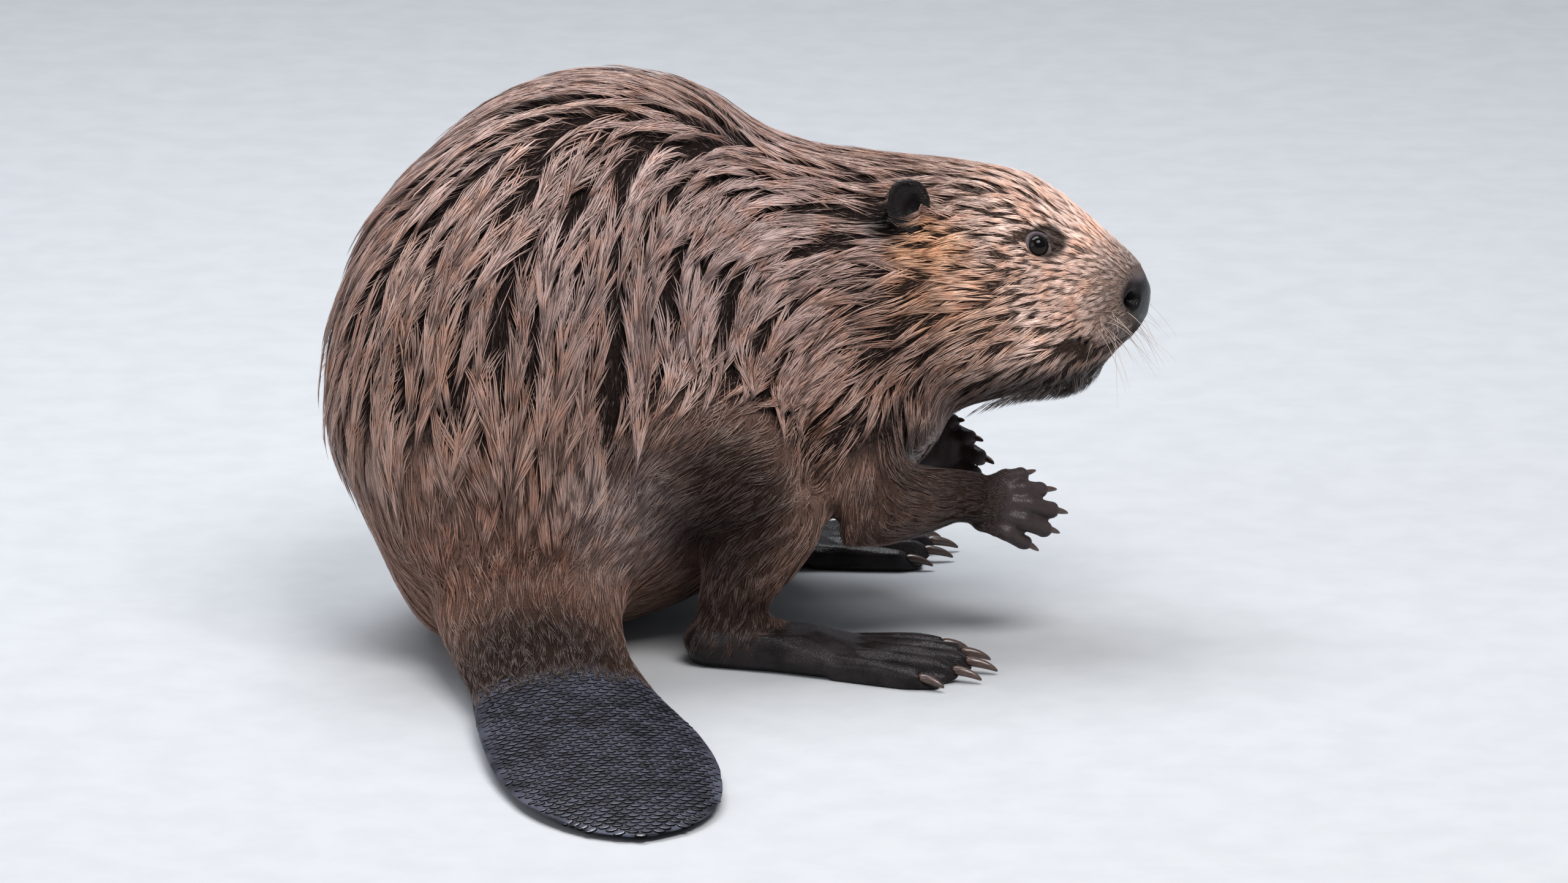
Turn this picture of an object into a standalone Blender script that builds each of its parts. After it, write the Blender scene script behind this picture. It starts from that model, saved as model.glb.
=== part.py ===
"""A life-size beaver sitting on its rump and hind feet, forepaws raised, tail laid on the floor beside it.

The coat's outer form is lofted from rows of ring stations, fused into one closed body, smoothed and sliced flat
where it rests on the floor. Thin cuts then part that body into head, neck, trunk, tail and legs. Ears, eyes and
claws are their own solids, each in a socket with a small gap. The animal faces +X, its right side faces -Y, and
+Z is up. Lengths in the tables are millimetres of an animal 480 mm from nose to rump.
"""

import math
from collections import namedtuple

import bmesh
import bpy
import numpy as np
from mathutils import Matrix, Vector
from mathutils.bvhtree import BVHTree

# Driving dimensions.
NOSE_TO_RUMP = 0.480
SCALE = NOSE_TO_RUMP / 480
CUT_GAP = 0.3
VOXEL = 1.6
BODY_TRIANGLES = 3300

UP = Vector((0, 0, 1))
FORWARD = Vector((1, 0, 0))
RIGHT, LEFT = -1, 1
SIDE_NAMES = {RIGHT: "right", LEFT: "left"}

Station = namedtuple("Station", "x y z half_width above below squareness")

# ---------------------------------------------------------------- the trunk, in upright slices from rump to throat
TRUNK = (
    Station(-241, -50, 146, 10, 10, 10, 2.0),
    Station(-238, -49, 147, 36, 38, 32, 2.0),
    Station(-228, -47, 149, 66, 73, 58, 2.1),
    Station(-214, -44, 146, 90, 104, 84, 2.1),
    Station(-198, -40, 138, 108, 131, 112, 2.2),
    Station(-178, -34, 126, 121, 161, 126, 2.3),
    Station(-150, -26, 117, 130, 191, 120, 2.4),
    Station(-112, -15, 115, 135, 209, 118, 2.4),
    Station(-68, -4, 120, 133, 208, 119, 2.3),
    Station(-24, 4, 132, 124, 184, 118, 2.2),
    Station(14, 9, 144, 113, 148, 108, 2.1),
    Station(50, 10, 154, 102, 126, 99, 2.1),
    Station(80, 9, 166, 92, 110, 93, 2.1),
    Station(106, 6, 180, 81, 92, 88, 2.1),
    Station(122, 3, 190, 62, 74, 72, 2.0),
    Station(132, 1, 196, 30, 40, 42, 2.0),
)

# ---------------------------------------------------------------- the head, in slices square to its own axis
HEAD_ORIGIN = Vector((100, 8, 0))
HEAD_YAW = math.radians(-15)
HEAD_LEAN = math.radians(-8)
HEAD = (
    Station(-34, 0, 196, 72, 72, 66, 2.1),
    Station(-4, 0, 196, 77, 77, 75, 2.1),
    Station(24, 0, 194, 75, 78, 71, 2.2),
    Station(50, 0, 193, 68, 77, 63, 2.2),
    Station(74, 0, 191, 57, 72, 54, 2.2),
    Station(92, 0, 188, 47, 64, 48, 2.2),
    Station(106, 0, 188, 41, 53, 43, 2.3),
    Station(117, 0, 190, 37, 42, 34, 2.4),
    Station(127, 0, 192, 32, 32, 25, 2.4),
    Station(135, 0, 193, 26, 23, 18, 2.4),
    Station(140, 0, 194, 17, 13, 11, 2.2),
    Station(142.5, 0, 194, 5, 5, 5, 2.0),
)
EYE_RADIUS, EYE_DEPTH = 7.2, 4.6
EYE_SIGHT = (Vector((89, 80, 248)), Vector((84, 10, 211)))
EAR_PLACE = Vector((15, 62, 249.5))
EAR_HALF_LENGTH, EAR_HALF_HEIGHT, EAR_HALF_THICKNESS, EAR_CUP = 16.5, 18.5, 2.4, 8.0
NOSE_PLACE, NOSE_RADII = Vector((137, 0, 201)), Vector((16, 24, 18))

# ---------------------------------------------------------------- the tail, along a path across the floor
TAIL = (
    Station(-110, -30, 72, 58, 52, 60, 2.0),
    Station(-117, -80, 52, 60, 46, 52, 2.0),
    Station(-121, -122, 38, 57, 36, 39, 2.0),
    Station(-116, -160, 27, 53, 27, 28, 2.0),
    Station(-108, -196, 19, 51, 20, 20, 2.1),
    Station(-99, -230, 13, 53, 14, 15, 2.2),
    Station(-91, -268, 10, 59, 12, 11.5, 2.2),
    Station(-82, -308, 9, 64, 11, 10.5, 2.2),
    Station(-74, -350, 8, 66, 9.5, 9.5, 2.2),
    Station(-67, -390, 7, 64, 8.5, 8.5, 2.2),
    Station(-60, -428, 6, 57, 7.5, 7.5, 2.2),
    Station(-55, -458, 5, 43, 6.0, 6.5, 2.2),
    Station(-52, -477, 4.5, 26, 4.5, 6.0, 2.2),
    Station(-50, -487, 4, 9, 3.5, 5.0, 2.0),
)
ROOT_START, SCALES_START = 2, 5

# ---------------------------------------------------------------- the legs; y is the distance from the middle plane
MID_PLANE = 2
THIGH = (
    Station(-96, 60, 158, 50, 52, 52, 2.0),
    Station(-60, 72, 146, 62, 62, 62, 2.0),
    Station(-22, 86, 126, 62, 60, 58, 2.0),
    Station(8, 94, 110, 50, 48, 46, 2.0),
    Station(28, 97, 103, 35, 34, 34, 2.0),
    Station(39, 98, 100, 15, 15, 15, 2.0),
)
SHIN = (
    Station(24, 98, 104, 32, 30, 30, 2.0),
    Station(18, 100, 82, 31, 34, 36, 2.0),
    Station(6, 105, 56, 25, 27, 30, 2.0),
    Station(-4, 109, 34, 20, 20, 22, 2.0),
    Station(-8, 111, 14, 17, 16, 18, 2.0),
)
HIND_FOOT_HEEL = {RIGHT: (-26, 112), LEFT: (-44, 112)}
HIND_FOOT_SPLAY = math.radians(9)
ANKLE_HEIGHT = 22
SOLE = (
    Station(-4, 0, 8, 9, 8, 9, 2.0),
    Station(6, 0, 11, 16, 16, 13, 2.2),
    Station(26, 0, 12, 19, 20, 14, 2.2),
    Station(52, 0, 10, 23, 17, 12, 2.3),
    Station(78, 0, 8, 29, 12, 10, 2.4),
    Station(100, 0, 6, 34, 8, 8, 2.4),
    Station(110, 0, 5, 33, 5, 7, 2.2),
)
WEB = (
    Station(84, 0, 2, 30, 4.0, 4, 2.6),
    Station(110, 0, 2, 38, 3.5, 4, 2.6),
    Station(132, 0, 2, 43, 3.0, 4, 2.6),
    Station(145, 0, 2, 42, 2.6, 4, 2.6),
    Station(150, 0, 2, 36, 2.2, 4, 2.4),
)
Digit = namedtuple("Digit", "base tip radius claw")
TOES = (
    Digit((92, -25, 8), (140, -38, 6), 6.6, 13),
    Digit((96, -13, 9), (154, -20, 6), 7.2, 14),
    Digit((98, 0, 9), (160, 1, 6), 7.4, 15),
    Digit((96, 13, 9), (155, 21, 6), 7.2, 14),
    Digit((90, 25, 8), (138, 40, 6), 6.6, 13),
)

UPPER_ARM = (
    Station(48, 48, 172, 36, 40, 40, 2.0),
    Station(58, 64, 144, 36, 39, 39, 2.0),
    Station(64, 75, 114, 32, 33, 33, 2.0),
    Station(66, 82, 90, 26, 27, 25, 2.0),
    Station(68, 84, 78, 13, 15, 13, 2.0),
)
Arm = namedtuple("Arm", "forearm palm forward thumbward")
ARMS = {
    RIGHT: Arm(
        (
            Station(58, -82, 86, 28, 29, 27, 2.0),
            Station(80, -80, 85, 26, 27, 25, 2.0),
            Station(104, -73, 86, 20, 22, 21, 2.0),
            Station(126, -65, 87, 15.5, 17, 16, 2.0),
            Station(142, -60, 84, 13, 15, 15, 2.0),
        ),
        Vector((149, -58, 81)),
        Vector((0.98, 0.06, -0.17)),
        Vector((0.14, 0.42, 0.90)),
    ),
    LEFT: Arm(
        (
            Station(58, 86, 88, 28, 29, 27, 2.0),
            Station(72, 82, 88, 26, 27, 25, 2.0),
            Station(86, 73, 90, 20, 22, 21, 2.0),
            Station(98, 62, 92, 15.5, 17, 16, 2.0),
            Station(107, 53, 92, 13, 15, 15, 2.0),
        ),
        Vector((113, 48, 91)),
        Vector((0.90, -0.40, -0.18)),
        Vector((0.16, -0.30, 0.92)),
    ),
}
# In a paw's own frame: x towards the fingertips, y towards the thumb, z towards the back of the paw.
PALM = (
    Station(-12, 0, 0, 14, 12.0, 12, 2.0),
    Station(-3, 0, 0, 16, 11.5, 11, 2.2),
    Station(5, 0, 0, 16, 9.5, 9, 2.3),
    Station(11, 0, 0, 13, 7.0, 7, 2.2),
)
FINGERS = (
    Digit((-2, 12, 0), (14, 20, -2), 4.3, 7),
    Digit((6, 9, 0), (26, 13, -3), 4.7, 8),
    Digit((8, 2, 1), (34, 2, -3), 4.9, 8),
    Digit((7, -6, 0), (31, -9, -4), 4.8, 8),
    Digit((0, -12, -1), (21, -19, -6), 4.6, 8),
)
CLAW_RADIUS_SHARE = 0.46

# ---------------------------------------------------------------- colour and roughness of each kind of surface
LOOKS = {
    "fur": ((0.115, 0.062, 0.038), 0.55),
    "bare_skin": ((0.035, 0.028, 0.027), 0.50),
    "tail_scale": ((0.030, 0.030, 0.034), 0.38),
    "eye": ((0.010, 0.008, 0.008), 0.08),
    "claw": ((0.090, 0.055, 0.042), 0.35),
}


def refined(rows, steps):
    """The rows, with others between them on a Catmull-Rom curve."""
    known = np.array(rows, float)
    known = np.vstack([2 * known[0] - known[1], known, 2 * known[-1] - known[-2]])
    made = []
    for before, start, end, after in zip(known, known[1:], known[2:], known[3:]):
        for t in np.arange(steps) / steps:
            made.append(
                start
                + 0.5 * t * (end - before)
                + t * t * (before - 2.5 * start + 2 * end - 0.5 * after)
                + t**3 * (1.5 * (start - end) + 0.5 * (after - before))
            )
    return [Station(*row) for row in [*made, known[-2]]]


def grown(rows, by):
    """The rows, wider by that much all round and longer by it at both ends."""
    rows = [
        row._replace(half_width=row.half_width + by, above=row.above + by, below=row.below + by)
        for row in rows
    ]
    for end, inner in ((0, 1), (-1, -2)):
        place = Vector(rows[end][:3])
        place += (place - Vector(rows[inner][:3])).normalized() * by
        rows[end] = rows[end]._replace(x=place.x, y=place.y, z=place.z)
    return rows


def sided(rows, side):
    """Rows of a leg, moved to that side of the middle plane."""
    return [row._replace(y=MID_PLANE + side * row.y) for row in rows]


def shin(side):
    """The shin's rows, leaning so that it ends over that side's heel."""
    back = HIND_FOOT_HEEL[RIGHT][0] - HIND_FOOT_HEEL[side][0]
    return [row._replace(x=row.x - back * (1 - row.z / SHIN[0].z)) for row in sided(SHIN, side)]


def head_point(along, rightward, height):
    """A point of the head in the world. The head turns right by its yaw and leans about its own axis."""
    pivot = Vector((0, 0, 195))
    local = Vector((along, -rightward, height)) - pivot
    turn = Matrix.Rotation(HEAD_YAW, 3, "Z") @ Matrix.Rotation(HEAD_LEAN, 3, "X")
    return HEAD_ORIGIN + pivot + turn @ local


def foot_point(side):
    """How a hind foot's own place, from the heel along the sole and outwards, reaches the world."""
    x0, y0 = HIND_FOOT_HEEL[side]
    cos, sin = math.cos(HIND_FOOT_SPLAY), math.sin(HIND_FOOT_SPLAY)
    return lambda x, y, z: Vector(
        (x0 + x * cos - y * sin, MID_PLANE + side * (y0 + x * sin + y * cos), z)
    )


def paw_axes(side):
    """Towards the fingertips, towards the thumb, and out of the back of the paw."""
    forward = ARMS[side].forward.normalized()
    back = forward.cross(ARMS[side].thumbward).normalized() * -side
    return forward, back.cross(forward).normalized() * -side, back


def paw_point(side):
    forward, thumbward, back = paw_axes(side)
    return lambda x, y, z: ARMS[side].palm + forward * x + thumbward * y + back * z


def shape_ring(ring, angle, centre, sideways, upward, row):
    for vertex in ring:
        c, s = math.cos(vertex[angle]), math.sin(vertex[angle])
        share = 2 / row.squareness
        across = math.copysign(abs(c) ** share, c) * row.half_width
        rise = math.copysign(abs(s) ** share, s) * (row.above if s > 0 else row.below)
        vertex.co = centre + sideways * across + upward * rise


def loft(bm, rows, point=None, forward=None, upward=UP, sides=28, steps=4):
    """A closed tube through the rows. point turns a row's place into the world's. The rings stand square to
    forward, or to the path where forward is left out."""
    rows = refined(rows, steps)
    place = point or (lambda x, y, z: Vector((x, y, z)))
    centres = [place(row.x, row.y, row.z) for row in rows]
    angle = bm.verts.layers.float.get("angle") or bm.verts.layers.float.new("angle")
    ring = bmesh.ops.create_circle(bm, segments=sides, radius=1)["verts"]
    for vertex in ring:
        vertex[angle] = math.atan2(vertex.co.y, vertex.co.x)
    edges = list({edge for vertex in ring for edge in vertex.link_edges})
    ends = [edges]
    made = set()
    for i, row in enumerate(rows):
        if i:
            new = bmesh.ops.extrude_edge_only(bm, edges=edges)["geom"]
            ring = [part for part in new if isinstance(part, bmesh.types.BMVert)]
            edges = [part for part in new if isinstance(part, bmesh.types.BMEdge) and part.verts[0] in ring
                     and part.verts[1] in ring]
            made.update(part for part in new if isinstance(part, bmesh.types.BMFace))
        tangent = forward or centres[min(i + 1, len(rows) - 1)] - centres[max(i - 1, 0)]
        sideways = tangent.cross(upward).normalized()
        shape_ring(ring, angle, centres[i], sideways, sideways.cross(tangent).normalized(), row)
    for loop in (ends[0], edges):
        made.update(bmesh.ops.edgeloop_fill(bm, edges=loop)["faces"])
    bmesh.ops.recalc_face_normals(bm, faces=list(made))


def digit_rows(digit):
    """Ring rows of a finger or toe, from inside the paw to its rounded tip."""
    base, tip = Vector(digit.base), Vector(digit.tip)
    rows = []
    for share, thickness, arch in ((0, 1, 0), (0.35, 1, 0.8), (0.7, 0.96, 0.6), (0.93, 0.85, 0), (1.05, 0.4, -0.4)):
        place = base.lerp(tip, share) + UP * arch
        rows.append(Station(*place, *[digit.radius * thickness] * 3, 2))
    return rows


def claw_rows(digit):
    """Ring rows of a claw that leaves the top of the digit's tip and curves down to a blunt point."""
    base, tip = Vector(digit.base), Vector(digit.tip)
    along = (tip - base).normalized()
    thick = digit.radius * CLAW_RADIUS_SHARE
    rows = []
    for share, thickness, drop in ((-0.3, 0.85, 0), (0, 1, 0), (0.4, 0.86, 0.05), (0.75, 0.56, 0.15), (1, 0.2, 0.3)):
        place = tip + along * (0.35 * digit.radius + share * digit.claw)
        place.z += 0.2 * digit.radius - drop * digit.claw
        rows.append(Station(*place, *[thick * thickness] * 3, 2))
    return rows


def mesh_from(bm):
    """The finished mesh, with its faces outward."""
    if bm.calc_volume(signed=True) < 0:
        bmesh.ops.reverse_faces(bm, faces=bm.faces)
    mesh = bpy.data.meshes.new("shape")
    bm.to_mesh(mesh)
    bm.free()
    return mesh


def lofted(rows, **settings):
    bm = bmesh.new()
    loft(bm, rows, **settings)
    return mesh_from(bm)


def box(corner, opposite, point=None):
    """A box between two corners, in the frame that point turns into the world's."""
    bm = bmesh.new()
    low, high = Vector(corner), Vector(opposite)
    place = point or (lambda x, y, z: Vector((x, y, z)))
    for vertex in bmesh.ops.create_cube(bm, size=1)["verts"]:
        share = vertex.co + Vector((0.5, 0.5, 0.5))
        vertex.co = place(*[a + (b - a) * t for a, b, t in zip(low, high, share)])
    return mesh_from(bm)


def ellipsoid(centre, radii, point, detail=2):
    bm = bmesh.new()
    for vertex in bmesh.ops.create_icosphere(bm, subdivisions=detail, radius=1)["verts"]:
        vertex.co = point(*[c + r * t for c, r, t in zip(centre, radii, vertex.co)])
    return mesh_from(bm)


def swelled(mesh, by):
    for vertex, normal in zip(mesh.vertices, [normal.vector.copy() for normal in mesh.vertex_normals]):
        vertex.co += normal * by * 1.4
    return mesh


def ear(side, by=0):
    """A round cupped ear that opens outwards and a little forwards, swelled by the given amount."""
    bm = bmesh.new()
    for vertex in bmesh.ops.create_uvsphere(bm, u_segments=14, v_segments=8, radius=1)["verts"]:
        along, tall, out = vertex.co
        thick = math.copysign(abs(out) ** 0.5, out) * EAR_HALF_THICKNESS
        rim = max(0.25, 0.6 + 0.3 * (tall - along))
        outward = EAR_PLACE.y + thick + EAR_CUP * rim * (along**2 + tall**2) ** 1.3
        outward -= (0.16 * tall + 0.20 * along) * EAR_HALF_LENGTH
        vertex.co = head_point(
            EAR_PLACE.x + along * EAR_HALF_LENGTH - 0.2 * tall * EAR_HALF_LENGTH,
            -side * outward,
            EAR_PLACE.z + tall * EAR_HALF_HEIGHT,
        )
    return swelled(mesh_from(bm), by)


def shells():
    """Every overlapping shell of flesh and coat in one mesh."""
    bm = bmesh.new()
    loft(bm, TRUNK, forward=FORWARD, sides=40)
    head_forward = head_point(1, 0, 195) - head_point(0, 0, 195)
    head_up = head_point(0, 0, 196) - head_point(0, 0, 195)
    loft(bm, HEAD, head_point, head_forward, head_up, sides=40)
    loft(bm, TAIL, sides=48)
    for side in (RIGHT, LEFT):
        loft(bm, sided(THIGH, side), sides=32)
        loft(bm, shin(side), upward=FORWARD)
        loft(bm, SOLE, foot_point(side))
        loft(bm, WEB, foot_point(side), sides=36)
        for toe in TOES:
            loft(bm, digit_rows(toe), foot_point(side), sides=14)
        loft(bm, sided(UPPER_ARM, side), upward=FORWARD)
        loft(bm, ARMS[side].forearm)
        forward, _, back = paw_axes(side)
        loft(bm, PALM, paw_point(side), forward, back)
        for finger in FINGERS:
            loft(bm, digit_rows(finger), paw_point(side), upward=back, sides=14)
    return mesh_from(bm)


def new_object(name, mesh):
    obj = bpy.data.objects.new(name, mesh)
    bpy.context.scene.collection.objects.link(obj)
    return obj


def applied(obj):
    """The object's mesh as its modifiers leave it. The object is removed."""
    graph = bpy.context.evaluated_depsgraph_get()
    mesh = bpy.data.meshes.new_from_object(obj.evaluated_get(graph))
    bpy.data.objects.remove(obj)
    return mesh


def boolean(mesh, other, operation):
    target, tool = new_object("target", mesh.copy()), new_object("tool", other)
    modifier = target.modifiers.new("cut", "BOOLEAN")
    modifier.solver = "EXACT"
    modifier.operation = operation
    modifier.object = tool
    made = applied(target)
    bpy.data.objects.remove(tool)
    return made


def largest_piece(mesh):
    """The mesh without the loose scraps that a cut may leave."""
    bm = bmesh.new()
    bm.from_mesh(mesh)
    pieces, seen = [], set()
    for start in bm.verts:
        if start in seen:
            continue
        piece, edge = {start}, [start]
        while edge:
            near = {e.other_vert(v) for v in edge for e in v.link_edges} - piece
            piece |= near
            edge = list(near)
        seen |= piece
        pieces.append(piece)
    keep = max(pieces, key=len)
    bmesh.ops.delete(bm, geom=[vertex for vertex in bm.verts if vertex not in keep], context="VERTS")
    return mesh_from(bm)


def small_form(place):
    """1 on paws, feet, muzzle and tail, 0 on the trunk and neck, where the surface is smoothed hardest."""
    spots = [(head_point(128, 0, 192), 34)]
    for side in (RIGHT, LEFT):
        spots.append((paw_point(side)(12, 0, 0), 36))
        spots.append((foot_point(side)(130, 0, 5), 60))
        spots.append((foot_point(side)(70, 0, 5), 40))
    near = max(2 - (place - spot).length / reach for spot, reach in spots)
    return min(1.0, max(0.0, near, (-150 - place.y) / 60))


def paw_form(place):
    """1 on the digits, 0 a little way from them."""
    spots = [(paw_point(side)(16, 0, 0), 26) for side in (RIGHT, LEFT)]
    spots += [(foot_point(side)(140, y, 5), 30) for side in (RIGHT, LEFT) for y in (-22, 22)]
    return min(1.0, max(0.0, max(3 - 2 * (place - spot).length / reach for spot, reach in spots)))


def fused_body():
    """One closed surface through the shells, smoothed, then thinned to the triangles it may have. The digits keep
    a finer mesh."""
    whole = new_object("whole", shells())
    remesh = whole.modifiers.new("fuse", "REMESH")
    remesh.mode = "VOXEL"
    remesh.voxel_size = VOXEL
    body = new_object("body", applied(whole))
    plain, coarse = (body.vertex_groups.new(name=name) for name in ("plain", "coarse"))
    for vertex in body.data.vertices:
        plain.add([vertex.index], 1 - small_form(vertex.co), "REPLACE")
        coarse.add([vertex.index], 1 - 0.5 * paw_form(vertex.co), "REPLACE")
    for name, rounds in ((plain.name, 70), ("", 2)):
        smooth = body.modifiers.new("smooth", "SMOOTH")
        smooth.factor = 0.5
        smooth.iterations = rounds
        smooth.vertex_group = name
    decimate = body.modifiers.new("thin", "DECIMATE")
    decimate.ratio = BODY_TRIANGLES / (2 * len(body.data.polygons))
    decimate.vertex_group = coarse.name
    decimate.vertex_group_factor = 0.5
    return applied(body)


def eye_centre(tree, side):
    """The middle of an eyeball, set a little way into the head below the point that its line of sight meets."""
    start, towards = (head_point(spot.x, -side * spot.y, spot.z) for spot in EYE_SIGHT)
    hit, normal, _, _ = tree.ray_cast(start, towards - start)
    return hit - normal * EYE_DEPTH


def with_gap(make):
    """A solid and the socket it needs, which is wider by the gap. make takes how much wider."""
    return make(0), make(CUT_GAP)


def inserts(tree):
    """Ears, eyes and claws: name, look, solid and socket of each."""
    made = []
    for side in (RIGHT, LEFT):
        name = SIDE_NAMES[side]
        eye = eye_centre(tree, side)
        spot = lambda x, y, z, eye=eye: eye + Vector((x, y, z))
        made.append(("eye_" + name, "eye", *with_gap(lambda by: ellipsoid((0, 0, 0), [EYE_RADIUS + by] * 3, spot))))
        made.append(("ear_" + name, "bare_skin", *with_gap(lambda by: ear(side, by))))
        for limb, digits, point in (("hand", FINGERS, paw_point(side)), ("foot", TOES, foot_point(side))):
            for number, digit in enumerate(digits, 1):
                rows = claw_rows(digit)
                pair = with_gap(lambda by: lofted(grown(rows, by), point=point, sides=6, steps=1))
                made.append((f"claw_{limb}_{name}_{number}", "claw", *pair))
    return made


def tilted(degrees, pivot):
    """A frame at the pivot whose x axis rises by that angle, in the plane of the head's turn."""
    turn = Matrix.Rotation(HEAD_YAW, 3, "Z") @ Matrix.Rotation(math.radians(-degrees), 3, "Y")
    return lambda x, y, z: pivot + turn @ Vector((x, y, z))


def along_tail(index, dip):
    """A frame at a tail station whose x axis follows the tail and dips by that many degrees."""
    here, there = Vector(TAIL[index][:3]), Vector(TAIL[index + 2][:3])
    heading = math.atan2(there.y - here.y, there.x - here.x)
    turn = Matrix.Rotation(heading, 3, "Z") @ Matrix.Rotation(math.radians(dip), 3, "Y")
    return lambda x, y, z: here + turn @ Vector((x, y, z))


def parted_by_box(frame, corner, opposite):
    """The two solids of a cut: what it takes, and what it clears, which goes further by the gap."""
    low, high = Vector(corner), Vector(opposite)
    wider = Vector((CUT_GAP, CUT_GAP, CUT_GAP))
    return box(low, high, frame), box(low - wider, high + wider, frame)


def hull(rows, by):
    """The convex hull of a tube that much wider and longer."""
    bm = bmesh.new()
    loft(bm, grown(rows, by), sides=12, steps=1, upward=FORWARD)
    bmesh.ops.delete(bm, geom=list(bm.edges), context="EDGES_FACES")
    spare = bmesh.ops.convex_hull(bm, input=bm.verts)["geom_interior"]
    bmesh.ops.delete(bm, geom=[part for part in spare if isinstance(part, bmesh.types.BMVert)], context="VERTS")
    return mesh_from(bm)


def parted_by_limb(upper, lower):
    """As parted_by_box, round the two tubes of a leg."""
    return [boolean(hull(upper, by), hull(lower, by), "UNION") for by in (7, 7 + CUT_GAP)]


def cuts():
    """Every cut, in the order made: node, look, what it takes and what it clears. The trunk is what is left."""
    made = []
    for side in (RIGHT, LEFT):
        name = SIDE_NAMES[side]
        made.append(("forepaw_" + name, "bare_skin", *parted_by_box(paw_point(side), (-9, -34, -30), (52, 34, 30))))
        arm = sided(UPPER_ARM[1:], side), ARMS[side].forearm
        made.append(("foreleg_" + name, "fur", *parted_by_limb(*arm)))
        low, high = (-14, -48, -5), (178, 60, ANKLE_HEIGHT)
        made.append(("hind_foot_" + name, "bare_skin", *parted_by_box(foot_point(side), low, high)))
        made.append(("hind_leg_" + name, "fur", *parted_by_limb(sided(THIGH[1:], side), shin(side))))
    made.append(("tail", "tail_scale", *parted_by_box(along_tail(SCALES_START, 0), (0, -90, -60), (330, 90, 60))))
    made.append(("tail_root", "fur", *parted_by_box(along_tail(ROOT_START, 24), (0, -90, -90), (140, 75, 66))))
    nose = with_gap(lambda by: ellipsoid(NOSE_PLACE, NOSE_RADII + Vector((by, by, by)), head_point))
    made.append(("nose", "bare_skin", *nose))
    head = tilted(18, Vector((98, 5, 195)))
    made.append(("head", "fur", *parted_by_box(head, (0, -120, -112), (200, 120, 120))))
    neck = tilted(16, Vector((66, 10, 195)))
    made.append(("neck", "fur", *parted_by_box(neck, (0, -140, -112), (200, 140, 120))))
    return made


def material(look):
    colour, roughness = LOOKS[look]
    made = bpy.data.materials.get(look) or bpy.data.materials.new(look)
    made.diffuse_color = (*colour, 1)
    made.use_nodes = True
    surface = made.node_tree.nodes["Principled BSDF"]
    surface.inputs["Base Color"].default_value = (*colour, 1)
    surface.inputs["Roughness"].default_value = roughness
    return made


def main():
    for old in list(bpy.data.objects):
        bpy.data.objects.remove(old)
    body = largest_piece(boolean(fused_body(), box((-400, -700, -60), (400, 400, 0)), "DIFFERENCE"))
    bm = bmesh.new()
    bm.from_mesh(body)
    tree = BVHTree.FromBMesh(bm)
    bm.free()
    nodes = []
    for name, look, solid, socket in inserts(tree):
        body = boolean(body, socket, "DIFFERENCE")
        nodes.append((name, look, solid))
    for name, look, taken, cleared in cuts():
        nodes.append((name, look, largest_piece(boolean(body, taken, "INTERSECT"))))
        body = largest_piece(boolean(body, cleared, "DIFFERENCE"))
    nodes.append(("trunk", "fur", body))
    corners = np.array([vertex.co for _, _, mesh in nodes for vertex in mesh.vertices])
    low, high = corners.min(axis=0), corners.max(axis=0)
    to_origin = Vector((-(low[0] + high[0]) / 2, -(low[1] + high[1]) / 2, -low[2]))
    for name, look, mesh in nodes:
        obj = new_object(name, mesh)
        mesh.transform(Matrix.Scale(SCALE, 4) @ Matrix.Translation(to_origin))
        mesh.materials.clear()
        mesh.materials.append(material(look))
        mesh.shade_smooth()
        mesh.set_sharp_from_angle(angle=math.radians(50))


if __name__ == "__main__":
    main()
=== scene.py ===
"""The looks of a life-size beaver model: one skin over the whole body, a wet coat of pointed locks combed
over it, a scaly tail, glossy eyes, horn claws, whiskers, and a plain pale studio.

Lengths in the tables are millimetres from a datum on the floor. The animal faces +X, its right side to -Y.
"""

import math
from collections import namedtuple

import bmesh
import bpy
import numpy as np
from bpy.props import FloatProperty, FloatVectorProperty, IntProperty, PointerProperty
from mathutils import Matrix, Vector
from mathutils.bvhtree import BVHTree


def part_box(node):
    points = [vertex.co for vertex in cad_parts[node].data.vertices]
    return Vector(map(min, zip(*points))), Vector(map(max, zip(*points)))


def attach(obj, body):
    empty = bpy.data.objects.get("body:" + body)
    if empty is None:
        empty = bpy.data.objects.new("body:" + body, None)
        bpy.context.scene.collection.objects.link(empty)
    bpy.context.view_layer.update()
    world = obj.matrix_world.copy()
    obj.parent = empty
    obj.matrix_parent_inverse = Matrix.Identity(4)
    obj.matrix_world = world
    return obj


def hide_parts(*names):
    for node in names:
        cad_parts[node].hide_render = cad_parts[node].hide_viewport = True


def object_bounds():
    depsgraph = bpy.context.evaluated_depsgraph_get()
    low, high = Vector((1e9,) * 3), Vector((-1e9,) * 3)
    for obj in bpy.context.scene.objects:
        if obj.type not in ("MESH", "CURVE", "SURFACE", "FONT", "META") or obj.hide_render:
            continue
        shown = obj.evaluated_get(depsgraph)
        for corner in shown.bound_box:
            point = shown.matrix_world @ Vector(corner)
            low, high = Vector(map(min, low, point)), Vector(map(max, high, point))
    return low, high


bl_info = {
    "name": "Beaver model",
    "version": (1, 0, 0),
    "blender": (4, 5, 0),
    "location": "3D View > Sidebar > Beaver",
    "description": "Builds the skin, coat, tail scales, eyes, claws and whiskers of a still beaver",
    "category": "Object",
}

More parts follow.
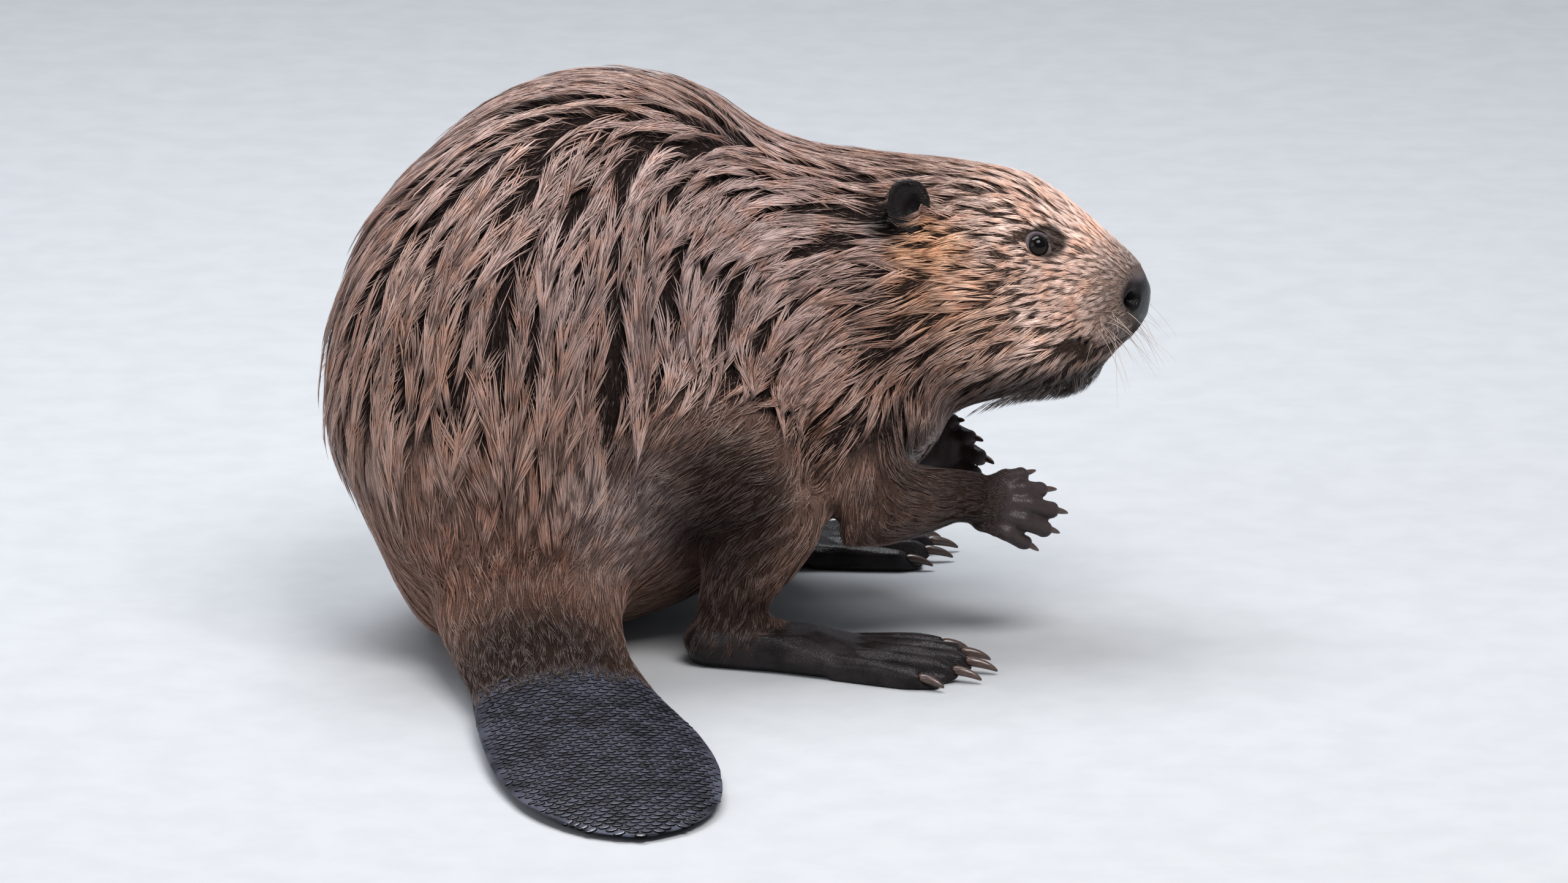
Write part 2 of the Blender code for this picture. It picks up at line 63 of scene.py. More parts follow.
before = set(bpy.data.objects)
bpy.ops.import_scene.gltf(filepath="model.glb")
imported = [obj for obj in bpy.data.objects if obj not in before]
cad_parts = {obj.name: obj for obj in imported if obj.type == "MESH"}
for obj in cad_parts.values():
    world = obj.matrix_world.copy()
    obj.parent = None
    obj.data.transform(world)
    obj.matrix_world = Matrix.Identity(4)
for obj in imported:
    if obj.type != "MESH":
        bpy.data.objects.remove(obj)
CAD_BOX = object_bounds()

MM = 0.001
UP = Vector((0, 0, 1))
RIGHT, LEFT = SIDES = (-1, 1)
SIDE_NAMES = {RIGHT: "right", LEFT: "left"}

# The datum lies on the floor under the middle of the trunk, this far from the rump and from the tail's tip.
RUMP_TO_DATUM, TAIL_TIP_TO_DATUM = 241.0, 487.2
DATUM = CAD_BOX[0] + Vector((RUMP_TO_DATUM, TAIL_TIP_TO_DATUM, 0)) * MM
MID_PLANE = 2

HEAD_ORIGIN = Vector((100, 8, 0))
HEAD_PIVOT = Vector((0, 0, 195))
HEAD_TURN = Matrix.Rotation(math.radians(-15), 3, "Z") @ Matrix.Rotation(math.radians(-8), 3, "X")

FLESH = [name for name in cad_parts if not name.startswith(("claw_", "eye_"))]
BARE_NODES = ("nose", "ear_", "forepaw_", "hind_foot_")


def at(x, y, z):
    """A point in metres, from millimetres off the datum."""
    return DATUM + Vector((x, y, z)) * MM


def head_at(along, rightward, height):
    """A point of the head in metres, from millimetres in the head's own directions."""
    turned = HEAD_TURN @ (Vector((along, -rightward, height)) - HEAD_PIVOT)
    return DATUM + (HEAD_ORIGIN + HEAD_PIVOT + turned) * MM


def in_head(points):
    """World points in metres, as millimetres along the head, to its right and up."""
    away = (points - np.array(DATUM)) / MM - np.array(HEAD_ORIGIN + HEAD_PIVOT)
    return (away @ np.array(HEAD_TURN) + np.array(HEAD_PIVOT)) * (1, -1, 1)


def head_way(along, rightward, height):
    """A direction on the head, in the world."""
    return HEAD_TURN @ Vector((along, -rightward, height))


def middle_of(name):
    """The middle of a CAD node's box."""
    low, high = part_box(name)
    return (low + high) / 2


def smooth_step(low, high, value):
    """0 at low and 1 at high, which may lie either way round."""
    share = np.clip((value - low) / (high - low), 0, 1)
    return share * share * (3 - 2 * share)


# ---------------------------------------------------------------- how the coat lies
# A comb is a place on the coat, the way the hair lies there, the length of its locks, how deep the coat is
# over the skin, the half width of a lock at its root, and how far wetness has drawn it together, from 0 to 1.
Comb = namedtuple("Comb", "place way length depth spread wet")
MIDDLE_COMBS = (
    Comb((-240, -49, 147), (0, 0, -1), 28, 5, 5, 0.55),
    Comb((-214, -44, 252), (-0.35, 0, -1), 42, 9, 7.5, 1),
    Comb((-150, -26, 308), (-0.85, 0, -0.6), 44, 9, 8, 1),
    Comb((-68, -4, 328), (-1, 0, -0.15), 42, 9, 8, 1),
    Comb((14, 9, 292), (-1, 0, 0.25), 34, 8, 6, 1),
    Comb((80, 9, 276), (-1, 0, 0.1), 24, 5, 4, 1),
    Comb((128, 2, 150), (-0.1, 0, -1), 20, 5, 4, 0.8),
    Comb((90, 5, 95), (-0.6, 0, -0.9), 20, 5, 4, 0.6),
    Comb((30, 5, 50), (-1, 0, -0.3), 16, 4, 3, 0.4),
    Comb((-60, 0, 10), (-1, 0, 0), 12, 2, 3, 0.2),
)
SIDE_COMBS = (
    Comb((-150, -122, 262), (-0.45, -0.3, -0.9), 46, 9, 8, 1),
    Comb((-68, -105, 284), (-0.45, -0.3, -0.85), 50, 9, 8.5, 1),
    Comb((14, -78, 260), (-0.75, -0.3, -0.55), 36, 8, 6, 1),
    Comb((60, -72, 245), (-0.9, -0.2, -0.4), 27, 6, 5, 1),
    Comb((-200, -125, 190), (-0.12, 0, -1), 44, 8, 7.5, 1),
    Comb((-130, -158, 190), (-0.12, 0, -1), 52, 9, 8.5, 1),
    Comb((-68, -138, 205), (-0.18, 0, -1), 50, 9, 8.5, 1),
    Comb((-10, -122, 205), (-0.3, 0, -1), 42, 8, 7, 1),
    Comb((40, -104, 195), (-0.68, 0, -0.75), 32, 7, 5.5, 1),
    Comb((80, -92, 190), (-0.85, 0, -0.5), 26, 6, 4.5, 1),
    Comb((-225, -105, 115), (0.08, 0, -1), 20, 3.5, 4, 0.2),
    Comb((-170, -148, 105), (0.14, 0, -1), 20, 3.5, 4, 0.18),
    Comb((-120, -152, 130), (0.0, 0, -1), 30, 5, 5.5, 0.5),
    Comb((-70, -145, 160), (-0.2, 0, -1), 34, 6, 6, 0.8),
    Comb((-40, -148, 150), (-0.5, 0, -0.9), 22, 4, 4, 0.35),
    Comb((-20, -150, 130), (-0.85, 0, -0.4), 16, 3, 3, 0.12),
    Comb((22, -138, 122), (-0.95, 0, -0.3), 14, 3, 3, 0.1),
    Comb((10, -138, 85), (-0.85, 0, -0.65), 14, 3, 3, 0.1),
    Comb((-40, -146, 85), (-0.6, 0, -0.9), 14, 3, 3, 0.12),
    Comb((0, -120, 45), (-0.3, 0, -1), 11, 2.5, 2.5, 0.4),
    Comb((20, -70, 40), (-0.7, 0, -0.7), 14, 3, 3, 0.3),
    Comb((50, -92, 140), (-0.75, 0, -0.6), 24, 5, 4.5, 0.7),
    Comb((30, -90, 90), (-0.9, 0, -0.4), 18, 4, 3.5, 0.3),
    Comb((84, -108, 150), (-0.5, 0, -0.85), 22, 5, 4, 0.7),
    Comb((100, -62, 140), (-0.15, 0, -1), 22, 5, 4, 0.7),
    Comb((74, -108, 100), (-0.2, 0, -0.9), 13, 3, 3, 0.3),
    Comb((96, -98, 88), (0.9, 0, -0.25), 10, 2, 2, 0.3),
    Comb((122, -84, 88), (1, 0.05, -0.1), 7, 1.4, 1.6, 0.3),
    Comb((-200, -95, 55), (0.3, -0.6, -0.8), 18, 3.5, 4, 0.25),
    Comb((146, -60, 92), (1, 0.05, -0.2), 4, 0.7, 1.3, 0.1),
    Comb((140, -62, 72), (1, 0.05, -0.2), 4, 0.7, 1.3, 0.1),
    Comb((112, -48, 100), (0.9, 0.4, -0.2), 4, 0.7, 1.3, 0.1),
)
TAIL_COMBS = (
    Comb((-60, -80, 60), (-0.05, -0.8, -0.6), 15, 3, 3, 0.15),
    Comb((-175, -85, 60), (0.1, -0.8, -0.6), 16, 3, 3, 0.15),
    Comb((-118, -125, 76), (0.05, -0.9, -0.45), 20, 2.6, 3, 0.15),
    Comb((-116, -160, 54), (0.08, -1, -0.35), 19, 2, 2.5, 0.15),
    Comb((-110, -200, 38), (0.1, -1, -0.25), 16, 1.4, 2, 0.1),
    Comb((-100, -235, 26), (0.1, -1, -0.1), 12, 0.8, 1.5, 0.1),
    Comb((-116, -160, 2), (0.08, -1, 0), 9, 1.2, 2, 0.1),
)
# The head's combs are in its own directions: along it, to its right, and up.
HEAD_COMBS = (
    Comb((74, 0, 263), (-1, 0, 0.2), 20, 2.5, 3.0, 0.6),
    Comb((24, 0, 272), (-1, 0, 0), 30, 4, 4.0, 0.75),
    Comb((115, 0, 232), (-1, 0, 0.4), 10, 1.2, 1.5, 0.25),
    Comb((118, 36, 195), (-0.85, 0.3, -0.35), 11, 1.2, 1.6, 0.35),
    Comb((128, 24, 176), (-0.5, 0.3, -0.9), 9, 1.1, 1.4, 0.35),
    Comb((98, 44, 172), (-0.85, 0.2, -0.4), 22, 2.5, 3.4, 0.65),
    Comb((74, 58, 195), (-0.97, 0.1, -0.2), 30, 3, 4.6, 0.75),
    Comb((50, 64, 160), (-0.88, 0.1, -0.45), 38, 4.5, 5.4, 0.85),
    Comb((20, 76, 180), (-0.94, 0, -0.3), 42, 5, 5.8, 0.9),
    Comb((24, 72, 222), (-0.97, 0.1, -0.15), 30, 3.5, 4.6, 0.85),
    Comb((-8, 74, 230), (-0.95, 0, -0.25), 40, 5, 6, 0.95),
    Comb((98, 34, 222), (-1, 0.15, 0.05), 13, 1.4, 2.0, 0.5),
    Comb((70, 50, 240), (-1, 0.15, -0.05), 20, 2, 3.2, 0.75),
    Comb((40, 58, 248), (-0.85, 0.65, 0.05), 20, 3, 3.4, 0.8),
    Comb((38, 64, 236), (-0.85, 0.6, 0.1), 20, 3, 3.4, 0.8),
    Comb((108, 14, 151), (0.3, 0, -1), 12, 3, 2.4, 1),
    Comb((98, 0, 143), (-0.6, 0, -0.8), 13, 3, 2.6, 1),
    Comb((60, 0, 130), (-0.95, 0, -0.25), 24, 4, 4, 0.8),
    Comb((132, 8, 216), (-1, 0.2, 0.5), 5, 0.8, 1.2, 0.2),
    Comb((136, 21, 192), (-0.9, 0.5, -0.3), 6, 0.8, 1.2, 0.15),
    Comb((138, 12, 174), (-0.1, 0.3, -1), 7, 0.9, 1.2, 0.3),
    Comb((92, 42, 236), (-1, 0.15, 0.3), 9, 1.4, 1.6, 0.6),
    Comb((88, 46, 212), (-1, 0.1, -0.25), 9, 1.2, 1.6, 0.5),
)


def combs_in_place():
    """Arrays of the combs' places, ways and sizes, in metres in the world, for both sides of the body."""
    rows = []
    for comb in (*MIDDLE_COMBS, *TAIL_COMBS, *SIDE_COMBS):
        rows.append((at(*comb.place), Vector(comb.way), comb))
    for comb in SIDE_COMBS:
        x, y, z = comb.place
        along, across, rise = comb.way
        rows.append((at(x, 2 * MID_PLANE - y, z), Vector((along, -across, rise)), comb))
    for comb in HEAD_COMBS:
        for side in (1, -1):
            x, y, z = comb.place
            along, across, rise = comb.way
            rows.append((head_at(x, side * y, z), head_way(along, side * across, rise), comb))
    places = np.array([place for place, _, _ in rows])
    ways = np.array([way.normalized() for _, way, _ in rows])
    sizes = np.array([(c.length * MM, c.depth * MM, c.spread * MM, c.wet) for _, _, c in rows])
    return places, ways, sizes


COMB_PLACES, COMB_WAYS, COMB_SIZES = combs_in_place()
COMB_REACH = 7 * MM
COMB_FALLOFF = 4.5


def combed(points):
    """The way of the hair and the coat's sizes at each point, from the nearest combs."""
    gaps = np.linalg.norm(points[:, None] - COMB_PLACES[None], axis=2)
    weights = 1 / (gaps + COMB_REACH) ** COMB_FALLOFF
    weights /= weights.sum(axis=1, keepdims=True)
    return weights @ COMB_WAYS, weights @ COMB_SIZES


# ---------------------------------------------------------------- mesh helpers
def array_of(collection, field, width=3, kind=np.float32):
    values = np.empty(len(collection) * width, kind)
    collection.foreach_get(field, values)
    return values.reshape(-1, width) if width > 1 else values


def points_of(mesh):
    return array_of(mesh.vertices, "co").astype(np.float64)


def edges_of(mesh):
    return array_of(mesh.edges, "vertices", 2, np.int32)


def vertex_normals(mesh):
    return array_of(mesh.vertex_normals, "vector").astype(np.float64)


def set_points(mesh, points):
    mesh.vertices.foreach_set("co", np.asarray(points, np.float32).ravel())
    mesh.update()


def set_attribute(mesh, name, values):
    """Stores a number, or a vector of three, on each vertex."""
    values = np.asarray(values, np.float32)
    kind, field = ("FLOAT", "value") if values.ndim == 1 else ("FLOAT_VECTOR", "vector")
    attribute = mesh.attributes.get(name) or mesh.attributes.new(name, kind, "POINT")
    attribute.data.foreach_set(field, values.ravel())


def node_mesh(name, grow=0.0):
    """A bmesh of a CAD node with its doubles merged, grown outwards by that many metres."""
    bm = bmesh.new()
    bm.from_mesh(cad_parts[name].data)
    bmesh.ops.remove_doubles(bm, verts=bm.verts, dist=1e-6)
    bm.normal_update()
    if grow:
        moved = [vertex.co + vertex.normal * grow for vertex in bm.verts]
        for vertex, place in zip(bm.verts, moved):
            vertex.co = place
    return bm


def put_into(bm, part):
    """Adds one bmesh to another, and frees it."""
    mesh = bpy.data.meshes.new("part")
    part.to_mesh(mesh)
    part.free()
    bm.from_mesh(mesh)
    bpy.data.meshes.remove(mesh)


def shade_smooth(mesh, smooth=True):
    mesh.polygons.foreach_set("use_smooth", [smooth] * len(mesh.polygons))


def as_object(name, mesh, material=None):
    piece = bpy.data.objects.new(name, mesh)
    bpy.context.scene.collection.objects.link(piece)
    if material:
        mesh.materials.append(material)
    return piece


def from_bmesh(name, bm, material=None, smooth=True):
    mesh = bpy.data.meshes.new(name)
    bm.to_mesh(mesh)
    bm.free()
    shade_smooth(mesh, smooth)
    return as_object(name, mesh, material)


def evaluated_mesh(piece):
    """The piece's mesh with its modifiers applied. The piece itself is removed."""
    mesh = bpy.data.meshes.new_from_object(piece.evaluated_get(bpy.context.evaluated_depsgraph_get()))
    old = piece.data
    bpy.data.objects.remove(piece)
    bpy.data.meshes.remove(old)
    return mesh


def declared(piece, slot, *nodes):
    """Hangs the piece on the root body and hides the CAD nodes that it stands for."""
    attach(piece, "root")
    if nodes:
        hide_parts(*nodes)
    return piece


def finished(name, mesh, material, slot, *nodes):
    """A smooth piece from its finished mesh, hung on the root body, with the CAD nodes it stands for hidden.
    """
    shade_smooth(mesh)
    return declared(as_object(name, mesh, material), slot, *nodes)


def repeated(name, bm, count):
    """One mesh holding that many copies of a small shape, in order, made by an Array modifier."""
    shape = from_bmesh(name, bm)
    array = shape.modifiers.new("copies", "ARRAY")
    array.count = count
    array.use_relative_offset = False
    array.use_merge_vertices = False
    mesh = evaluated_mesh(shape)
    mesh.name = name
    return mesh


# ---------------------------------------------------------------- materials
class Tree:
    """A material and its nodes, added one at a time."""

    def __init__(self, name):
        self.colours = bpy.context.scene.beaver_colours
        self.material = bpy.data.materials.new(name)
        self.material.use_nodes = True
        self.nodes = self.material.node_tree.nodes
        self.links = self.material.node_tree.links
        self.shader = self.nodes["Principled BSDF"]

    def add(self, kind, inputs=None, output=0, **settings):
        """Adds a node, sets or links its inputs, and returns one of its outputs."""
        node = self.nodes.new("ShaderNode" + kind)
        for key, value in settings.items():
            setattr(node, key, value)
        for key, value in (inputs or {}).items():
            self.feed(node.inputs[key], value)
        return node.outputs[output]

    def feed(self, socket, value):
        if isinstance(value, bpy.types.NodeSocket):
            self.links.new(value, socket)
        else:
            socket.default_value = value

    def shade(self, **inputs):
        for key, value in inputs.items():
            self.feed(self.shader.inputs[key.replace("_", " ")], value)
        return self.material

    def colour(self, name):
        """One of the colours that the panel sets."""
        return (*getattr(self.colours, name), 1.0)

    def place(self):
        return self.add("TexCoord", output="Object")

    def attribute(self, name):
        return self.add("Attribute", output="Fac", attribute_name=name)

    def fibres(self, across, along):
        """Fine streaks that run along each strand, so many to a millimetre across it and along it."""
        vector = self.add("Attribute", output="Vector", attribute_name="fibre")
        return self.noise(self.stretched(vector, (across, along, 1)), 1.0, 3.0, 0.6)

    def math(self, operation, a, b=0.0, clamp=False):
        return self.add("Math", {0: a, 1: b}, operation=operation, use_clamp=clamp)

    def ramp(self, value, low, high, start=0.0, end=1.0):
        """The value mapped smoothly from low..high to start..end."""
        return self.add(
            "MapRange",
            {"Value": value, "From Min": low, "From Max": high, "To Min": start, "To Max": end},
            interpolation_type="SMOOTHSTEP",
        )

    def mix(self, share, first, second, blend="MIX"):
        """Colour sockets of Mix are 6 and 7, and its colour result is 2."""
        return self.add("Mix", {0: share, 6: first, 7: second}, output=2, data_type="RGBA", blend_type=blend)

    def noise(self, vector, scale, detail=3.0, roughness=0.55, swirl=0.0):
        inputs = {"Vector": vector, "Scale": scale, "Detail": detail}
        return self.add("TexNoise", {**inputs, "Roughness": roughness, "Distortion": swirl})

    def stretched(self, vector, scale, turn=(0, 0, 0)):
        return self.add("Mapping", {"Vector": vector, "Scale": scale, "Rotation": turn})

    def brightened(self, colour, gain):
        return self.add("VectorMath", {0: colour, 1: gain}, operation="MULTIPLY")

    def lying(self, across, along):
        """Streaks down the body and back along the head, so many to a millimetre across and along them."""
        upright = self.stretched(self.place(), (across / MM, across / MM, along / MM))
        down = self.noise(upright, 1.0, 3.0, 0.6, 1.1)
        inputs = {"Vector": self.place(), "Rotation": HEAD_TURN.to_euler()}
        inputs["Scale"] = (MM / along, MM / across, MM / across)
        turned = self.add("Mapping", inputs, vector_type="TEXTURE")
        back = self.noise(turned, 1.0, 3.0, 0.6, 0.5)
        head = self.near(head_at(80, 0, 200), (120, 100, 90), 0.75)
        return self.add("Mix", {0: head, 2: down, 3: back}, data_type="FLOAT")

    def bump(self, height, strength, distance, normal=None):
        inputs = {"Height": height, "Strength": strength, "Distance": distance}
        if normal:
            inputs["Normal"] = normal
        return self.add("Bump", inputs)

    def near(self, centre, radii, inner=0.6):
        """1 inside an ellipsoid, falling to 0 at its surface."""
        away = self.add("VectorMath", {0: self.place(), 1: centre}, operation="SUBTRACT")
        sizes = tuple(radius * MM for radius in radii)
        shares = self.add("VectorMath", {0: away, 1: sizes}, operation="DIVIDE")
        distance = self.add("VectorMath", {0: shares}, output="Value", operation="LENGTH")
        return self.ramp(distance, 1.0, inner)


# Colours that the panel doesn't set.
PEBBLE_GAP_SHADE = (0.006, 0.005, 0.005, 1)
NOSE_BLACK = (0.005, 0.004, 0.004, 1)
# Painted shade for the ears' cups, the nostrils and the line between the lips.
HOLLOW_SHADE = (0.004, 0.003, 0.003, 1)
# Painted shade in the gaps between the tail's scales; the same black serves the pupils.
SCALE_GAP_SHADE = PUPIL = (0.001, 0.001, 0.001, 1)
EYE_EDGE = (0.012, 0.008, 0.007, 1)
GRIT = (0.05, 0.04, 0.035, 1)
FLOOR_PALE, FLOOR_PALEST = (0.44, 0.45, 0.465, 1), (0.465, 0.475, 0.49, 1)

# Patches of colour on the coat: the colour's property, the centre, the radii, the strength, and the share of
# the radii that has it in full.
Patch = namedtuple("Patch", "colour centre radii strength full", defaults=(0.4,))


def coat_patches():
    patches = [
        Patch("flank", at(-80, 0, 215), (200, 200, 130), 0.9),
        Patch("rump", at(-150, -60, 60), (130, 150, 90), 0.8),
        Patch("dark", at(-108, -232, 36), (118, 112, 86), 0.97, 0.3),
        Patch("dark", at(20, 2, 40), (110, 110, 85), 0.75),
        Patch("head", head_at(70, 0, 200), (95, 95, 95), 0.95),
        Patch("muzzle", head_at(128, 0, 194), (44, 52, 48), 0.95),
        # Painted shade under the lower lip, across the chin.
        Patch("dark", head_at(104, 0, 147), (36, 50, 24), 0.92),
        Patch("dark", head_at(144, 0, 177), (18, 22, 20), 0.92, 0.5),
        Patch("dark", head_at(70, 0, 140), (70, 68, 38), 0.88),
    ]
    for side in SIDES:
        y = MID_PLANE + side * 130
        patches += [
            Patch("dark", at(-12, y, 92), (66, 66, 82), 0.95),
            Patch("dark", at(105, MID_PLANE + side * 78, 88), (78, 62, 50), 0.75),
            Patch("dark", at(*HANDS[side].palm), (62, 52, 48), 0.96),
            Patch("dark", at(-8, y, 22), (56, 56, 34), 0.9),
            # Painted sheen: a pale patch over each hip stands in for the wet coat's broad sheen there.
            Patch("pale", at(-66, y, 92), (50, 70, 64), 0.6, 0.25),
            Patch("ginger", head_at(26, -side * 68, 226), (30, 34, 22), 0.95),
            Patch("ginger", head_at(36, -side * 64, 196), (50, 34, 34), 0.45),
            # Painted shade in the crease below each corner of the mouth.
            Patch("dark", head_at(110, -side * 34, 165), (20, 22, 13), 0.8),
            Patch("brow", head_at(89, -side * 36, 229.5), (15, 15, 13), 1.0, 0.65),
            Patch("ear", head_at(2, -side * 72, 243), (24, 16, 26), 0.9, 0.3),
        ]
    return patches


def coat_colour(tree):
    """The coat's markings, the same on the skin and on every lock."""
    colour = tree.colour("base")
    for patch in coat_patches():
        share = tree.math("MULTIPLY", tree.near(patch.centre, patch.radii, patch.full), patch.strength)
        colour = tree.mix(share, colour, tree.colour(patch.colour))
    return colour


def wool_colour(tree):
    """The wool between the locks: near black on the body, dark brown on the head, partly its own colour and
    partly painted shade in the gaps.
    """
    head = tree.near(head_at(80, 0, 200), (110, 90, 80), 0.6)
    return tree.mix(head, tree.colour("underfur"), tree.colour("head_wool"))


# How much brighter the palest fibres are than a marking's own colour, their bluish cast partly a painted
# sheen, and how much darker the darkest.
LIT_GAIN, DARK_GAIN = (1.8, 2.0, 2.15), (0.32, 0.27, 0.26)


def coat_material(name, all_over=None):
    """Wet hair: darkened at the root as painted shade deep in the coat, the marking's colour beyond it, and
    every fibre a little its own shade, the palest with a bluish cast that is partly a painted sheen.
    """
    tree = Tree(name)
    reach = tree.attribute("reach")
    tone = tree.attribute("tone")
    fibres = tree.fibres(1.7, 0.03)
    markings = tree.colour(all_over) if all_over else coat_colour(tree)
    warmth = tree.ramp(tree.noise(tree.place(), 75, 2), 0.45, 0.65, 0.0, 0.5)
    markings = tree.mix(warmth, markings, tree.colour("warm"), "MULTIPLY")
    # Paler copies of a marking's colour with a bluish cast, partly a painted sheen.
    lit = tree.brightened(markings, LIT_GAIN)
    dark = tree.brightened(markings, DARK_GAIN)
    varied = tree.mix(tree.ramp(tone, 0.45, 0.9, 0.0, 0.6), markings, lit)
    shaded = tree.mix(tree.ramp(tone, 0.42, 0.1, 0.0, 0.8), varied, dark)
    streaked = tree.mix(tree.ramp(fibres, 0.46, 0.3, 0.0, 0.4), shaded, dark)
    # Painted glints: the palest fibres take the bluish pale colour.
    bright = tree.mix(tree.ramp(fibres, 0.52, 0.7, 0.0, 0.25), streaked, lit)
    # Painted shade: the wetter the lock, the darker its strands near the root, deep in the coat.
    soaked = tree.ramp(tree.attribute("wet"), 0.3, 0.8, 0.3, 1.0)
    root = tree.math("MULTIPLY", tree.ramp(reach, 0.24, 0.02), soaked)
    shaded_at_root = tree.mix(root, bright, tree.colour("underfur"))
    normal = tree.bump(fibres, 0.4, 0.0002)
    return tree.shade(
        Base_Color=shaded_at_root, Roughness=0.42, Normal=normal,
        Specular_IOR_Level=0.5, Coat_Weight=0.42, Coat_Roughness=0.26, Coat_Normal=normal,
    )


def underfur_material():
    """The dark wet wool that shows between the locks, partly its own colour and partly painted shade in the
    gaps, darker still towards the roots.
    """
    tree = Tree("underfur")
    fibres = tree.fibres(1.8, 0.12)
    dark = tree.mix(0.5, coat_colour(tree), wool_colour(tree))
    streaked = tree.mix(tree.ramp(fibres, 0.55, 0.35), dark, tree.colour("underfur"))
    # Painted shade: the stubs darken towards the root.
    shaded_at_root = tree.mix(tree.ramp(tree.attribute("reach"), 0.5, 0.1), streaked, tree.colour("underfur"))
    normal = tree.bump(fibres, 0.6, 0.0003)
    return tree.shade(Base_Color=shaded_at_root, Roughness=0.42, Normal=normal, Specular_IOR_Level=0.5)


def leather_colour(tree, place, pebbles, nose):
    """Black leather, browner on the hands, lilac on the lids and the nose's bridge, blackest on the nose, and
    darker in the grooves between its pebbles as painted shade.
    """
    worn = tree.ramp(tree.noise(place, 60), 0.3, 0.7)
    leather = tree.mix(worn, tree.colour("leather"), tree.colour("leather_worn"))
    # Painted shade in the grooves between the pebbles.
    leather = tree.mix(tree.ramp(pebbles, 0.0, 0.25, 0.4, 0.0), leather, PEBBLE_GAP_SHADE)
    for side in SIDES:
        hand = tree.near(at(*HANDS[side].palm), (66, 50, 50), 0.7)
        blotched = tree.mix(tree.noise(place, 130), tree.colour("leather_worn"), tree.colour("hand_skin"))
        leather = tree.mix(hand, leather, blotched)
        lid = tree.near(eye_place(side)[0], (10, 10, 10), 0.9)
        leather = tree.mix(lid, leather, tree.colour("lid"))
    bridge = tree.near(head_at(136, 0, 216), (18, 26, 11), 0.5)
    leather = tree.mix(bridge, leather, tree.colour("lid"))
    leather = tree.mix(nose, leather, NOSE_BLACK)
    for side in SIDES:
        ear = tree.near(head_at(14, -side * 68, 246), (26, 20, 28), 0.7)
        leather = tree.mix(ear, leather, tree.colour("ear"))
    return leather


def skin_material():
    """Dark underfur where the coat covers it, darkened partly as painted shade under wetter locks, black
    leather where it is bare, slate on the tail, and painted shade in the ears' cups, the nostrils and the
    line between the lips.
    """
    tree = Tree("beaver_skin")
    place = tree.place()
    bare, scaly, hollow_shade = (tree.attribute(name) for name in ("bare", "scaly", "hollow_shade"))
    markings = coat_colour(tree)
    wool = tree.lying(0.8, 0.16)
    # Under wetter locks the skin takes the dark wool colour, partly as painted shade in the deeper gaps
    # between them.
    gap = tree.ramp(tree.attribute("wet"), 0.25, 0.6, 0.4, 0.96)
    under = tree.mix(gap, markings, wool_colour(tree))
    under = tree.mix(tree.ramp(wool, 0.5, 0.32, 0.0, 0.8), under, tree.colour("underfur"))
    under = tree.mix(tree.ramp(wool, 0.55, 0.75, 0.0, 0.16), under, markings)
    pebbles = tree.add("TexVoronoi", {"Vector": place, "Scale": 620}, feature="DISTANCE_TO_EDGE")
    nose = tree.near(head_at(142, 0, 192), (28, 32, 19), 0.6)
    leather = leather_colour(tree, place, pebbles, nose)
    blotches = tree.ramp(tree.noise(place, 45), 0.3, 0.7)
    slate = tree.mix(blotches, tree.colour("scale_dark"), tree.colour("scale_lit"))
    colour = tree.mix(bare, under, leather)
    colour = tree.mix(scaly, colour, slate)
    # Painted shade: near black in the ears' cups, the nostrils and the line between the lips.
    colour = tree.mix(hollow_shade, colour, HOLLOW_SHADE)
    fine = tree.noise(place, 900, 4)
    shown = tree.math("MAXIMUM", bare, scaly)
    rough = tree.math("SUBTRACT", tree.ramp(fine, 0.3, 0.7, 0.8, 0.92), tree.math("MULTIPLY", shown, 0.47))
    waves = {"Vector": place, "Scale": 260, "Distortion": 9, "Detail": 3, "Detail Scale": 2.5}
    wrinkled = tree.bump(tree.add("TexWave", waves), 0.15, 0.0003)
    grain = tree.bump(pebbles, tree.math("MULTIPLY", shown, 0.5), 0.0005, wrinkled)
    furry = tree.bump(wool, tree.math("SUBTRACT", 1.0, shown), 0.002, grain)
    normal = tree.bump(fine, 0.3, 0.0003, furry)
    open_skin = tree.math("SUBTRACT", bare, hollow_shade, True)
    gloss = tree.math("MULTIPLY", open_skin, tree.ramp(nose, 0.0, 1.0, 0.22, 0.34))
    return tree.shade(
        Base_Color=colour, Roughness=rough, Normal=normal,
        Specular_IOR_Level=0.06, Coat_Weight=gloss, Coat_Roughness=0.2, Coat_Normal=normal,
    )


def scale_material():
    """Wet slate scales, each its own shade, the palest with a bluish cast that is partly a painted sheen,
    with black rims as painted shade in the gaps between scales, and a little dull grit.
    """
    tree = Tree("tail_scales")
    tone, rim = tree.attribute("tone"), tree.attribute("rim")
    # Each scale's own tone, the palest bluish as partly a painted sheen.
    colour = tree.mix(tone, tree.colour("scale_dark"), tree.colour("scale_lit"))
    grit = tree.noise(tree.place(), 700, 5)
    colour = tree.mix(tree.ramp(grit, 0.55, 0.8, 0.0, 0.35), colour, GRIT)
    # Painted shade: each scale's rim near black, for the gaps between the scales.
    colour = tree.mix(rim, colour, SCALE_GAP_SHADE)
    rough = tree.math("MAXIMUM", tree.ramp(grit, 0.3, 0.75, 0.22, 0.42), tree.math("MULTIPLY", rim, 0.85))
    gloss = tree.ramp(rim, 0.7, 0.0, 0.0, 0.85)
    normal = tree.bump(grit, 0.4, 0.0003)
    return tree.shade(
        Base_Color=colour, Roughness=rough, Normal=normal,
        Specular_IOR_Level=0.08, Coat_Weight=gloss, Coat_Roughness=0.12, Coat_Normal=normal,
    )


